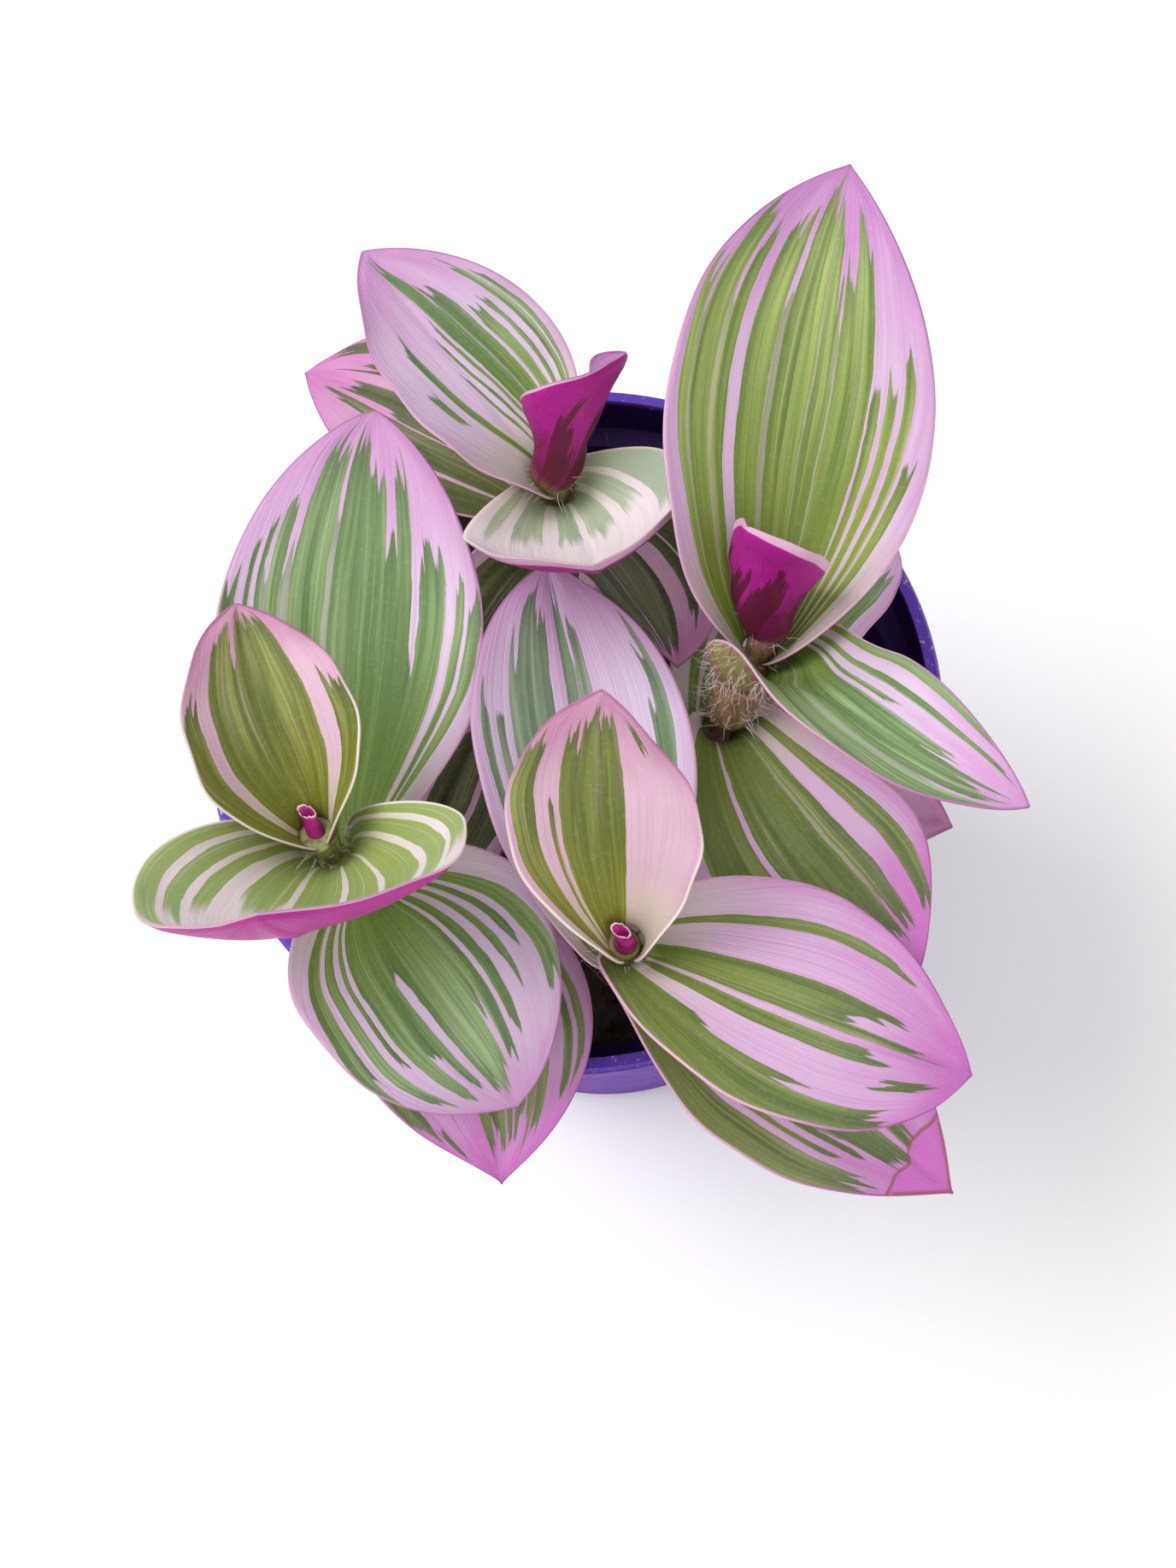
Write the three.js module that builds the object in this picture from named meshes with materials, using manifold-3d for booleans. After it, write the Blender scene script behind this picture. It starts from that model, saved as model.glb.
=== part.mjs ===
// A variegated tradescantia in a small round nursery pot.
// Millimetres, +Z up. The origin is the centre of the pot's flat underside.
// Four shoots stand in the soil; each carries separate, folded leaves.
import * as THREE from 'three';
import { mergeVertices } from 'three/addons/utils/BufferGeometryUtils.js';
import Module from 'manifold-3d';

const wasm = await Module();
wasm.setup();

// ---- driving dimensions: pot ----
const RIM_RADIUS = 52.5;
const POT_HEIGHT = 88;
const BASE_RADIUS = 36;
const WALL = 1.6;
const FLOOR = 3.5;
const EDGE = 1; // bevels at the foot, the rim and the channel
const RIM_WIDTH = 2; // flat band on top of the rim
const RIM_SKIRT = 9; // height of the collar under the rim
const RIM_STEP = 4.4; // how far the rim stands out from the wall
const SKIRT_TAPER = 0.6;
const CHANNEL_INNER = 16; // raised ring in the underside, with the drain holes
const CHANNEL_OUTER = 28;
const CHANNEL_LIFT = 1.5;
const DRAIN_HOLES = 8;
const DRAIN_RADIUS = 3;
const DRAIN_SIDES = 12;
const POT_SIDES = 48;

// ---- driving dimensions: soil and plant ----
const GAP = 0.3; // clearance between pieces that touch
const SOIL_LEVEL = 71;
const SOIL_RELIEF = 0.9;
const SOIL_RINGS = 5;
const SOIL_SIDES = 36;
const STEM_DEPTH = 22; // length of stem in the soil
const HOLE_PLAY = 0.4; // clearance of a stem in its hole
const STEM_SIDES = 10;
const STEM_FOOT_RADIUS = 2.4;
const STEM_TIP_RADIUS = 1.6;
const STEM_TOP = 120; // height where the stem has thinned to its tip radius
const STEM_STEP = 5;
const COLLAR_LENGTH = 6;
const SHORTEST_COLLAR = 1;
const CLASP_HEIGHT = 5; // height of stem that a clasping leaf base takes up
const CLASP_PLAY = 0.25;
const BLADE = 0.7; // thickness of a leaf
const BLADE_COLUMNS = 8;
const BLADE_ROWS = 12;
const ROW_SPREAD = 1.25; // rows lie closer at the base than at the tip
const SPINE_STEPS = 120;
const TIP_HALF_WIDTH = 0.6;
const ELBOW = 0.05; // share of the length where a blade turns away from its stem
const ROLL_ONSET = 0.2; // share of the length where a blade has taken up its roll
const CUP_LOSS = 0.35; // share of the cup that is gone at the tip

const rad = THREE.MathUtils.degToRad;
const vec = (x, y, z) => new THREE.Vector3(x, y, z);

// ---- materials ----
const material = (name, color, roughness) =>
  Object.assign(new THREE.MeshStandardMaterial({ color, roughness, metalness: 0 }), { name });
const POT_PLASTIC = material('pot_plastic', 0x4a2391, 0.35);
const SOIL = material('soil', 0x2b2019, 0.95);
const STEM_SKIN = material('stem_skin', 0x8a6a62, 0.6);
const LEAF_SKIN = material('leaf_skin', 0x9bab7a, 0.5);

const plant = new THREE.Group();

// Adds one named body to the plant.
function addPiece(name, geometry, skin) {
  const mesh = new THREE.Mesh(geometry, skin);
  mesh.name = name;
  plant.add(mesh);
}

// ---- solids from closed meshes ----
function toManifold(geometry) {
  const bare = geometry.clone();
  bare.deleteAttribute('normal');
  bare.deleteAttribute('uv');
  const merged = mergeVertices(bare, 1e-4);
  return new wasm.Manifold(new wasm.Mesh({
    numProp: 3,
    vertProperties: Float32Array.from(merged.attributes.position.array),
    triVerts: Uint32Array.from(merged.index.array),
  }));
}

function toGeometry(solid) {
  const mesh = solid.getMesh();
  return meshGeometry(Array.from(mesh.vertProperties), Array.from(mesh.triVerts));
}

function meshGeometry(positions, triangles) {
  const geometry = new THREE.BufferGeometry();
  geometry.setAttribute('position', new THREE.Float32BufferAttribute(positions, 3));
  geometry.setIndex(triangles);
  geometry.computeVertexNormals();
  return geometry;
}

// A stack of closed rings, capped at both ends.
function ringStack(rings) {
  const sides = rings[0].length;
  const positions = rings.flat().flatMap((p) => [p.x, p.y, p.z]);
  const triangles = [];
  for (let j = 0; j < rings.length - 1; j += 1) {
    for (let i = 0; i < sides; i += 1) {
      const a = j * sides + i;
      const b = j * sides + ((i + 1) % sides);
      triangles.push(a, b, b + sides, a, b + sides, a + sides);
    }
  }
  const last = (rings.length - 1) * sides;
  for (let i = 1; i < sides - 1; i += 1) {
    triangles.push(0, i + 1, i, last, last + i, last + i + 1);
  }
  return meshGeometry(positions, triangles);
}

// A ring of points round a centre, square to an axis.
function ringAround(centre, axis, radius, sides) {
  const across = vec(1, 0, 0).addScaledVector(axis, -axis.x).normalize();
  const along = axis.clone().cross(across);
  return Array.from({ length: sides }, (_, i) => {
    const angle = (2 * Math.PI * i) / sides;
    return centre.clone()
      .addScaledVector(across, radius * Math.cos(angle))
      .addScaledVector(along, radius * Math.sin(angle));
  });
}

// ---- pot ----
// Outer radius of the tapered wall at a height.
function potWallRadius(z) {
  const skirt = POT_HEIGHT - RIM_SKIRT;
  return BASE_RADIUS + ((z - EDGE) * (RIM_RADIUS - RIM_STEP - BASE_RADIUS)) / (skirt - EDGE);
}

function buildPot() {
  const skirt = POT_HEIGHT - RIM_SKIRT;
  const inside = RIM_RADIUS - RIM_WIDTH;
  const profile = [
    [0, 0],
    [CHANNEL_INNER, 0],
    [CHANNEL_INNER + EDGE, CHANNEL_LIFT],
    [CHANNEL_OUTER - EDGE, CHANNEL_LIFT],
    [CHANNEL_OUTER, 0],
    [BASE_RADIUS - EDGE, 0],
    [BASE_RADIUS, EDGE],
    [potWallRadius(skirt), skirt],
    [RIM_RADIUS - EDGE, skirt + EDGE / 2],
    [RIM_RADIUS, POT_HEIGHT - EDGE],
    [RIM_RADIUS - EDGE / 2, POT_HEIGHT],
    [inside, POT_HEIGHT],
    [inside - SKIRT_TAPER, skirt + WALL + EDGE / 2],
    [potWallRadius(skirt + WALL) - WALL, skirt + WALL],
    [potWallRadius(FLOOR) - WALL, FLOOR],
    [0, FLOOR],
  ].map(([r, z]) => new THREE.Vector2(r, z));
  const shell = new THREE.LatheGeometry(profile, POT_SIDES).rotateX(Math.PI / 2);
  let pot = toManifold(shell);
  const ring = (CHANNEL_INNER + CHANNEL_OUTER) / 2;
  for (let i = 0; i < DRAIN_HOLES; i += 1) {
    const angle = (2 * Math.PI * (i + 0.5)) / DRAIN_HOLES;
    const drill = new THREE.CylinderGeometry(DRAIN_RADIUS, DRAIN_RADIUS, 3 * FLOOR, DRAIN_SIDES)
      .rotateX(Math.PI / 2)
      .translate(ring * Math.cos(angle), ring * Math.sin(angle), FLOOR / 2);
    pot = pot.subtract(toManifold(drill));
  }
  addPiece('pot', toGeometry(pot), POT_PLASTIC);
}

// ---- shoots: each stem is a curve through these points, from the soil up ----
const STEMS = {
  west: [
    [-26.5, -24, SOIL_LEVEL], [-30.5, -25.5, 100], [-32.3, -25, 110], [-34.4, -23.4, 120],
    [-34.9, -22.8, 125],
  ],
  south: [
    [2.3, -28.5, SOIL_LEVEL], [0.6, -37.5, 96], [0.3, -41, 106], [0.6, -43.4, 114],
    [1.2, -44.6, 120], [1.5, -45.4, 125],
  ],
  north: [
    [6, 28, SOIL_LEVEL], [4.6, 25.5, 95], [4, 23.6, 106], [3.5, 22.2, 112],
    [3.2, 21.3, 117], [3, 20.7, 121.3],
  ],
  east: [
    [14.3, -8.3, SOIL_LEVEL], [17.6, -12, 97], [19.6, -12.3, 105], [22.4, -10.8, 113],
    [25.2, -9, 120], [26.6, -8, 125],
  ],
};

// Point and direction of a stem at a height, by a smooth cubic between its points.
function stemAt(shoot, z) {
  const knots = STEMS[shoot].map(([x, y, height]) => vec(x, y, height));
  const slope = (a, b) => b.clone().sub(a).divideScalar(b.z - a.z);
  const last = knots.length - 1;
  const tangent = (k) => {
    if (k === 0) return slope(knots[0], knots[1]);
    if (k === last) return slope(knots[last - 1], knots[last]);
    return slope(knots[k - 1], knots[k]).add(slope(knots[k], knots[k + 1])).multiplyScalar(0.5);
  };
  let k = 0;
  while (k < last - 1 && z > knots[k + 1].z) k += 1;
  if (z <= knots[0].z) {
    const foot = knots[0].clone();
    foot.z = z;
    return { point: foot, axis: vec(0, 0, 1) };
  }
  const span = knots[k + 1].z - knots[k].z;
  const s = (z - knots[k].z) / span;
  const [h00, h10] = [(1 + 2 * s) * (1 - s) ** 2, s * (1 - s) ** 2];
  const [h01, h11] = [s * s * (3 - 2 * s), s * s * (s - 1)];
  const point = vec(0, 0, 0)
    .addScaledVector(knots[k], h00).addScaledVector(tangent(k), h10 * span)
    .addScaledVector(knots[k + 1], h01).addScaledVector(tangent(k + 1), h11 * span);
  point.z = z;
  const axis = tangent(k).lerp(tangent(k + 1), s).normalize();
  return { point, axis };
}

function stemRadius(z) {
  const s = THREE.MathUtils.clamp((z - SOIL_LEVEL) / (STEM_TOP - SOIL_LEVEL), 0, 1);
  return STEM_FOOT_RADIUS + (STEM_TIP_RADIUS - STEM_FOOT_RADIUS) * s;
}

// ---- leaves ----
// z: height of the clasp on the stem; yaw, pitch: where the blade points, in degrees;
// bend: how far it arches down to the tip; swerve: how far it turns sideways;
// roll, twist: turn about its own length at the base, and more towards the tip;
// cup: arc of the cross-section; wrap: its arc at the clasp; open: how soon the clasp opens;
// widest: place of the full width; point: how slowly the tip narrows.
const USUAL = { swerve: 0, roll: 0, twist: 0, wrap: 280, open: 0.07, widest: 0.43, point: 1 };
const LEAVES = {
  west: [
    { z: 121, yaw: 105, pitch: 49, bend: 33, swerve: -14, roll: -3, twist: 21,
      length: 29, width: 25.5, cup: 127, wrap: 335, open: 0.16, widest: 0.37, point: 0.84 },
    { z: 114.5, yaw: -90, pitch: 37, bend: -53, swerve: -32, roll: -4, twist: 34,
      length: 46, width: 45, cup: 43, open: 0.28, widest: 0.38, point: 1.1 },
    { z: 109, yaw: 81, pitch: 5, bend: -22, swerve: -12, twist: 14,
      length: 59, width: 36, cup: 50, point: 0.75 },
    { z: 102.5, yaw: -65, pitch: 37, bend: 110, swerve: 1, roll: -15, twist: 21,
      length: 40, width: 35, cup: 53, widest: 0.32, point: 1.07 },
    { z: 94, yaw: -55, pitch: 6, bend: 46, swerve: -48, roll: -15, twist: -6,
      length: 42, width: 34, cup: 52, point: 1.2 },
    { z: 86, yaw: 57, pitch: 10, bend: 14,
      length: 30, width: 22, cup: 50 },
  ],
  south: [
    { z: 120, yaw: 87, pitch: 48, bend: -7, swerve: -7, roll: -3, twist: -14,
      length: 33.5, width: 26.5, cup: 106, wrap: 335, open: 0.17, widest: 0.5, point: 0.82 },
    { z: 114.5, yaw: -35, pitch: 25, bend: 72, swerve: 13, roll: -24, twist: 24,
      length: 48.5, width: 31.5, cup: 23, open: 0.13, widest: 0.41 },
    { z: 106, yaw: 91, pitch: 29, bend: 48, swerve: -2, roll: 11, twist: 3,
      length: 54, width: 29, cup: 58, widest: 0.46, point: 0.96 },
    { z: 98, yaw: -39, pitch: -19, bend: 16, swerve: -8, roll: -5,
      length: 57, width: 31.5, cup: 47, widest: 0.38, point: 1.1 },
  ],
  north: [
    { z: 121.2, yaw: -187.5, pitch: 131.8, bend: -18.1, swerve: 58.7, roll: 58.7, twist: 64.5,
      length: 22.4, width: 18.8, cup: 156.7, wrap: 238.9, open: 0.31, widest: 0.604, point: 0.703 },
    { z: 117.5, yaw: 123, pitch: 26.4, bend: 0, swerve: 1, roll: 24.6, twist: -15.9,
      length: 37, width: 28, cup: 92.9, wrap: 278, open: 0.081, widest: 0.4, point: 0.861 },
    { z: 112.5, yaw: -75, pitch: 26, bend: -44, swerve: -23, roll: 3, twist: 4,
      length: 37, width: 34, cup: 112, open: 0.2, widest: 0.47, point: 1.05 },
    { z: 103.5, yaw: -45, pitch: 18, bend: 19, swerve: -52, roll: -23, twist: -2,
      length: 31, width: 21.5, cup: 53, open: 0.08, point: 0.96 },
    { z: 98, yaw: 129, pitch: 18, bend: 44, swerve: 15, roll: -3,
      length: 47, width: 26, cup: 46 },
    { z: 91, yaw: -135, pitch: -4, bend: 10,
      length: 26, width: 21, cup: 45 },
  ],
  east: [
    { z: 123.8, yaw: -54.2, pitch: 108.9, bend: -6.1, swerve: -14.2, roll: -27.4, twist: -54.7,
      length: 20.7, width: 16.4, cup: 155.7, wrap: 208.9, open: 0.284, widest: 0.505, point: 0.657 },
    { z: 119.1, yaw: 74.8, pitch: 49.8, bend: 48.5, swerve: -13.7, roll: 39.8, twist: -33.1,
      length: 62.5, width: 37.3, cup: 71.9, wrap: 330, open: 0.1, widest: 0.403, point: 0.967 },
    { z: 113.5, yaw: -65, pitch: 70.5, bend: 80, swerve: 25, roll: -64.5, twist: 76.5,
      length: 51.2, width: 23, cup: 71, wrap: 258, open: 0.236, widest: 0.217, point: 0.85 },
    { z: 103, yaw: -87, pitch: 7, bend: 6, swerve: 42, roll: -12, twist: -2,
      length: 43, width: 33, cup: 62, open: 0.06, widest: 0.57, point: 0.75 },
    { z: 97, yaw: 57, pitch: 21, bend: 58, swerve: -36, roll: -8, twist: -5,
      length: 42.5, width: 25, cup: 49, widest: 0.45, point: 0.8 },
    { z: 90, yaw: -29, pitch: 6, bend: 10,
      length: 34, width: 22, cup: 50 },
  ],
};

// Half-width along the blade as a share of the full half-width.
function outline(t, base, widest, point) {
  if (t < widest) return base + (1 - base) * Math.sin((Math.PI / 2) * (t / widest)) ** 0.95;
  return Math.max(1 - ((t - widest) / (1 - widest)) ** 2.1, 0) ** point;
}

// Mid-surface of a blade: rows of points and normals from the clasp to the tip.
function bladeSurface(shoot, settings) {
  const leaf = { ...USUAL, ...settings };
  const { point: seat, axis } = stemAt(shoot, leaf.z);
  const clasp = claspRadius(leaf.z);
  const frameAt = (t) => {
    const pitch = rad(leaf.pitch - leaf.bend * t);
    const yaw = rad(leaf.yaw + leaf.swerve * t);
    const grip = Math.exp(-t / ELBOW);
    const along = vec(Math.cos(pitch) * Math.cos(yaw), Math.cos(pitch) * Math.sin(yaw), Math.sin(pitch))
      .multiplyScalar(1 - grip).addScaledVector(axis, grip).normalize();
    const flat = vec(-Math.sin(yaw), Math.cos(yaw), 0);
    const across = flat.addScaledVector(along, -flat.dot(along)).normalize();
    const turn = rad(leaf.roll + leaf.twist * t) * (1 - Math.exp(-((t / ROLL_ONSET) ** 2)));
    across.applyAxisAngle(along, turn);
    return { along, across, up: along.clone().cross(across) };
  };
  const spine = [];
  let previous = frameAt(0);
  let place = seat.clone().addScaledVector(previous.up, -clasp);
  spine.push({ ...previous, place: place.clone() });
  for (let k = 1; k <= SPINE_STEPS; k += 1) {
    const next = frameAt(k / SPINE_STEPS);
    const heading = previous.along.clone().add(next.along).multiplyScalar(0.5);
    place = place.clone().addScaledVector(heading, leaf.length / SPINE_STEPS);
    spine.push({ ...next, place: place.clone() });
    previous = next;
  }
  const baseShare = (rad(leaf.wrap) * clasp) / leaf.width;
  const points = [];
  const normals = [];
  for (let j = 0; j <= BLADE_ROWS; j += 1) {
    const k = Math.round(SPINE_STEPS * (j / BLADE_ROWS) ** ROW_SPREAD);
    const t = k / SPINE_STEPS;
    const share = outline(t, baseShare, leaf.widest, leaf.point);
    const half = Math.max((leaf.width / 2) * share, TIP_HALF_WIDTH);
    const clasping = (leaf.wrap - leaf.cup) * Math.exp(-t / leaf.open);
    const arc = rad(leaf.cup * (1 - CUP_LOSS * t) + clasping);
    const radius = half / (arc / 2);
    for (let i = 0; i <= BLADE_COLUMNS; i += 1) {
      const angle = ((2 * i) / BLADE_COLUMNS - 1) * (arc / 2);
      points.push(spine[k].place.clone()
        .addScaledVector(spine[k].across, radius * Math.sin(angle))
        .addScaledVector(spine[k].up, radius * (1 - Math.cos(angle))));
      normals.push(spine[k].across.clone().multiplyScalar(-Math.sin(angle))
        .addScaledVector(spine[k].up, Math.cos(angle)));
    }
  }
  return { points, normals };
}

// Radius of the blade's mid-surface where it clasps the stem.
function claspRadius(z) {
  return stemRadius(z) + BLADE / 2 + GAP + CLASP_PLAY;
}

// A blade of even thickness, with both faces split into triangles alike.
function bladeGeometry({ points, normals }) {
  const columns = BLADE_COLUMNS + 1;
  const count = points.length;
  const face = (side) => points.flatMap((p, k) => {
    const q = p.clone().addScaledVector(normals[k], (side * BLADE) / 2);
    return [q.x, q.y, q.z];
  });
  const positions = [...face(1), ...face(-1)];
  const triangles = [];
  const quad = (a, b, c, d) => triangles.push(a, b, c, a, c, d);
  for (let j = 0; j < BLADE_ROWS; j += 1) {
    for (let i = 0; i < BLADE_COLUMNS; i += 1) {
      const a = j * columns + i;
      const [b, c, d] = [a + 1, a + columns + 1, a + columns];
      triangles.push(a, c, b, a, d, c);
      triangles.push(a + count, b + count, c + count, a + count, c + count, d + count);
    }
    const left = j * columns;
    const right = left + BLADE_COLUMNS;
    quad(left, left + count, left + columns + count, left + columns);
    quad(right, right + columns, right + columns + count, right + count);
  }
  const last = BLADE_ROWS * columns;
  for (let i = 0; i < BLADE_COLUMNS; i += 1) {
    quad(i, i + 1, i + 1 + count, i + count);
    quad(last + i, last + i + count, last + i + 1 + count, last + i + 1);
  }
  return meshGeometry(positions, triangles);
}

// ---- stems ----
// A closed tube round a stem: one straight length in the soil, short ones above it.
function tubeAlong(shoot, bottom, top, radiusAt, spacing) {
  const from = Math.max(bottom, SOIL_LEVEL);
  const count = Math.max(1, Math.round((top - from) / spacing));
  const heights = Array.from({ length: count + 1 }, (_, k) => from + ((top - from) * k) / count);
  if (bottom < from) heights.unshift(bottom);
  const rings = heights.map((z) => {
    const { point, axis } = stemAt(shoot, z);
    return ringAround(point, axis, radiusAt(z), STEM_SIDES);
  });
  return toManifold(ringStack(rings));
}

// One shoot: its leaves, and its stem with a collar below each leaf, where the sheath swells it.
function buildShoot(shoot) {
  const leaves = LEAVES[shoot];
  const top = STEMS[shoot].at(-1)[2];
  let stem = tubeAlong(shoot, SOIL_LEVEL - STEM_DEPTH, top, stemRadius, STEM_STEP);
  leaves.forEach((leaf, k) => {
    const lower = leaves[k + 1];
    const lowest = leaf.z - COLLAR_LENGTH;
    const collarTop = leaf.z - GAP;
    const collarFoot = lower ? Math.max(lower.z + CLASP_HEIGHT, lowest) : lowest;
    if (collarTop - collarFoot > SHORTEST_COLLAR) {
      const outer = claspRadius(leaf.z) + BLADE / 2;
      stem = stem.add(tubeAlong(shoot, collarFoot, collarTop, () => outer, COLLAR_LENGTH / 2));
    }
    addPiece(`leaf_${shoot}_${k + 1}`, bladeGeometry(bladeSurface(shoot, leaf)), LEAF_SKIN);
  });
  addPiece(`stem_${shoot}`, toGeometry(stem), STEM_SKIN);
}

// ---- soil: an uneven top, and a plain hole for each stem ----
function buildSoil() {
  const rings = SOIL_RINGS;
  const sides = SOIL_SIDES;
  const wave = 0.2;
  const surface = (r, angle) => SOIL_LEVEL
    + SOIL_RELIEF * Math.sin(wave * r * Math.cos(angle) + 1) * Math.cos(wave * r * Math.sin(angle));
  const outer = (z) => potWallRadius(z) - WALL - 2 * GAP;
  const positions = [0, 0, FLOOR + GAP, 0, 0, surface(0, 0)];
  const triangles = [];
  const at = (j, i) => 2 + j * sides + (i % sides);
  for (let j = 0; j <= rings; j += 1) {
    for (let i = 0; i < sides; i += 1) {
      const angle = (2 * Math.PI * i) / sides;
      const onTop = j < rings;
      const r = onTop ? (outer(SOIL_LEVEL - SOIL_RELIEF) * (j + 1)) / rings : outer(FLOOR + GAP);
      const z = onTop ? surface(r, angle) : FLOOR + GAP;
      positions.push(r * Math.cos(angle), r * Math.sin(angle), z);
    }
  }
  for (let i = 0; i < sides; i += 1) {
    triangles.push(1, at(0, i), at(0, i + 1));
    for (let j = 0; j < rings; j += 1) {
      triangles.push(at(j, i), at(j + 1, i), at(j + 1, i + 1));
      triangles.push(at(j, i), at(j + 1, i + 1), at(j, i + 1));
    }
    triangles.push(0, at(rings, i + 1), at(rings, i));
  }
  let soil = toManifold(meshGeometry(positions, triangles));
  const hole = () => STEM_FOOT_RADIUS + HOLE_PLAY;
  for (const shoot of Object.keys(STEMS)) {
    const bottom = SOIL_LEVEL - STEM_DEPTH - GAP;
    soil = soil.subtract(tubeAlong(shoot, bottom, SOIL_LEVEL + STEM_STEP, hole, STEM_STEP));
  }
  addPiece('soil', toGeometry(soil), SOIL);
}

buildPot();
buildSoil();
Object.keys(STEMS).forEach(buildShoot);

export default plant;
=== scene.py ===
# A variegated tradescantia in a small violet nursery pot, seen from above.
# Sizes are real ones in millimetres; MM turns them into the frame's metres.
import random
from math import cos, exp, pi, radians, sin, sqrt, tau

import bmesh
import bpy
from mathutils import Matrix, Vector, noise


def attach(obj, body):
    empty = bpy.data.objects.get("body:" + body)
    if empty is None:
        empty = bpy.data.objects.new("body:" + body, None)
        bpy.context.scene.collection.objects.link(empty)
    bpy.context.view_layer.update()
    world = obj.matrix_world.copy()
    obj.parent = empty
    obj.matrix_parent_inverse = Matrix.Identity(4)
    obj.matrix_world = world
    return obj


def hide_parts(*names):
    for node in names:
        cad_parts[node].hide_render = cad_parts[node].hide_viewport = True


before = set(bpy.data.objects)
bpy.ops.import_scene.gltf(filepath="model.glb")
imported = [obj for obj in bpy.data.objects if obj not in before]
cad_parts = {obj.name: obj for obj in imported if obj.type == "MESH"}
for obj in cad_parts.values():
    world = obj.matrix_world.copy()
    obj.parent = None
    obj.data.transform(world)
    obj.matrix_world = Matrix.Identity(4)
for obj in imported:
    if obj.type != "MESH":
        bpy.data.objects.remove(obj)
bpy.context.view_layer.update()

MM = 0.001
random.seed(7)

# ---- camera, light and floor ----
CAMERA_PLACE = (0, -123.95, 386.35)
CAMERA_TURN = (20.37, 3.709, -9.983)
CAMERA_LENS = 52
FLOOR_SIZE = 3000
WORLD_LIGHT = 0.64
LAMPS = {
    # name: place, what it points at, size, watts
    "window_left": ((-700, 250, 1100), (0, 0, 90), 900, 13),
    "window_front": ((350, -800, 900), (0, 0, 90), 900, 4.2),
}

# ---- pot ----
RIM_RADIUS = 52.5
POT_HEIGHT = 88
BASE_RADIUS = 36
WALL = 1.6
POT_FLOOR = 3.5
EDGE = 1
RIM_WIDTH = 2
RIM_SKIRT = 9
RIM_STEP = 4.4
SKIRT_TAPER = 0.6
CHANNEL_INNER = 16
CHANNEL_OUTER = 28
CHANNEL_LIFT = 1.5
DRAIN_HOLES = 8
DRAIN_RADIUS = 3
DRAIN_SIDES = 32
MOULD_RADIUS = 0.35
MOULD_ANGLE = 28
POT_STEPS = 144

# ---- soil and plant ----
GAP = 0.3
SOIL_LEVEL = 71
SOIL_RELIEF = 0.9
SOIL_LUMPS = 0.9
SOIL_GRIT = 0.5
SOIL_RINGS = 44
SOIL_STEPS = 160
CRUMBS = 520
CRUMB_SIZES = (0.4, 1.3)
FIBRES = 70
FIBRE_RADIUS = 0.14
FIBRE_LENGTHS = (4, 9)
FIBRE_REACH = 40  # how far from the pot's axis they lie
STEM_DEPTH = 22
STEM_FOOT_RADIUS = 2.4
STEM_TIP_RADIUS = 1.6
STEM_TOP = 120
STEM_SIDES = 24
COLLAR_LENGTH = 6
CLASP_HEIGHT = 5
CLASP_PLAY = 0.25
BLADE = 0.7
BLADE_COLUMNS = 56
BLADE_ROWS = 120
TIP_HALF_WIDTH = 0.12
ELBOW = 0.05
ROLL_ONSET = 0.2
CUP_LOSS = 0.35

STEMS = {
    "west": [(-26.5, -24, 71), (-30.5, -25.5, 100), (-32.3, -25, 110), (-34.4, -23.4, 120),
             (-34.9, -22.8, 125)],
    "south": [(2.3, -28.5, 71), (0.6, -37.5, 96), (0.3, -41, 106), (0.6, -43.4, 114),
              (1.2, -44.6, 120), (1.5, -45.4, 125)],
    "north": [(6, 28, 71), (4.6, 25.5, 95), (4, 23.6, 106), (3.5, 22.2, 112),
              (3.2, 21.3, 117), (3, 20.7, 121.3)],
    "east": [(14.3, -8.3, 71), (17.6, -12, 97), (19.6, -12.3, 105), (22.4, -10.8, 113),
             (25.2, -9, 120), (26.6, -8, 125)],
}

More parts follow.
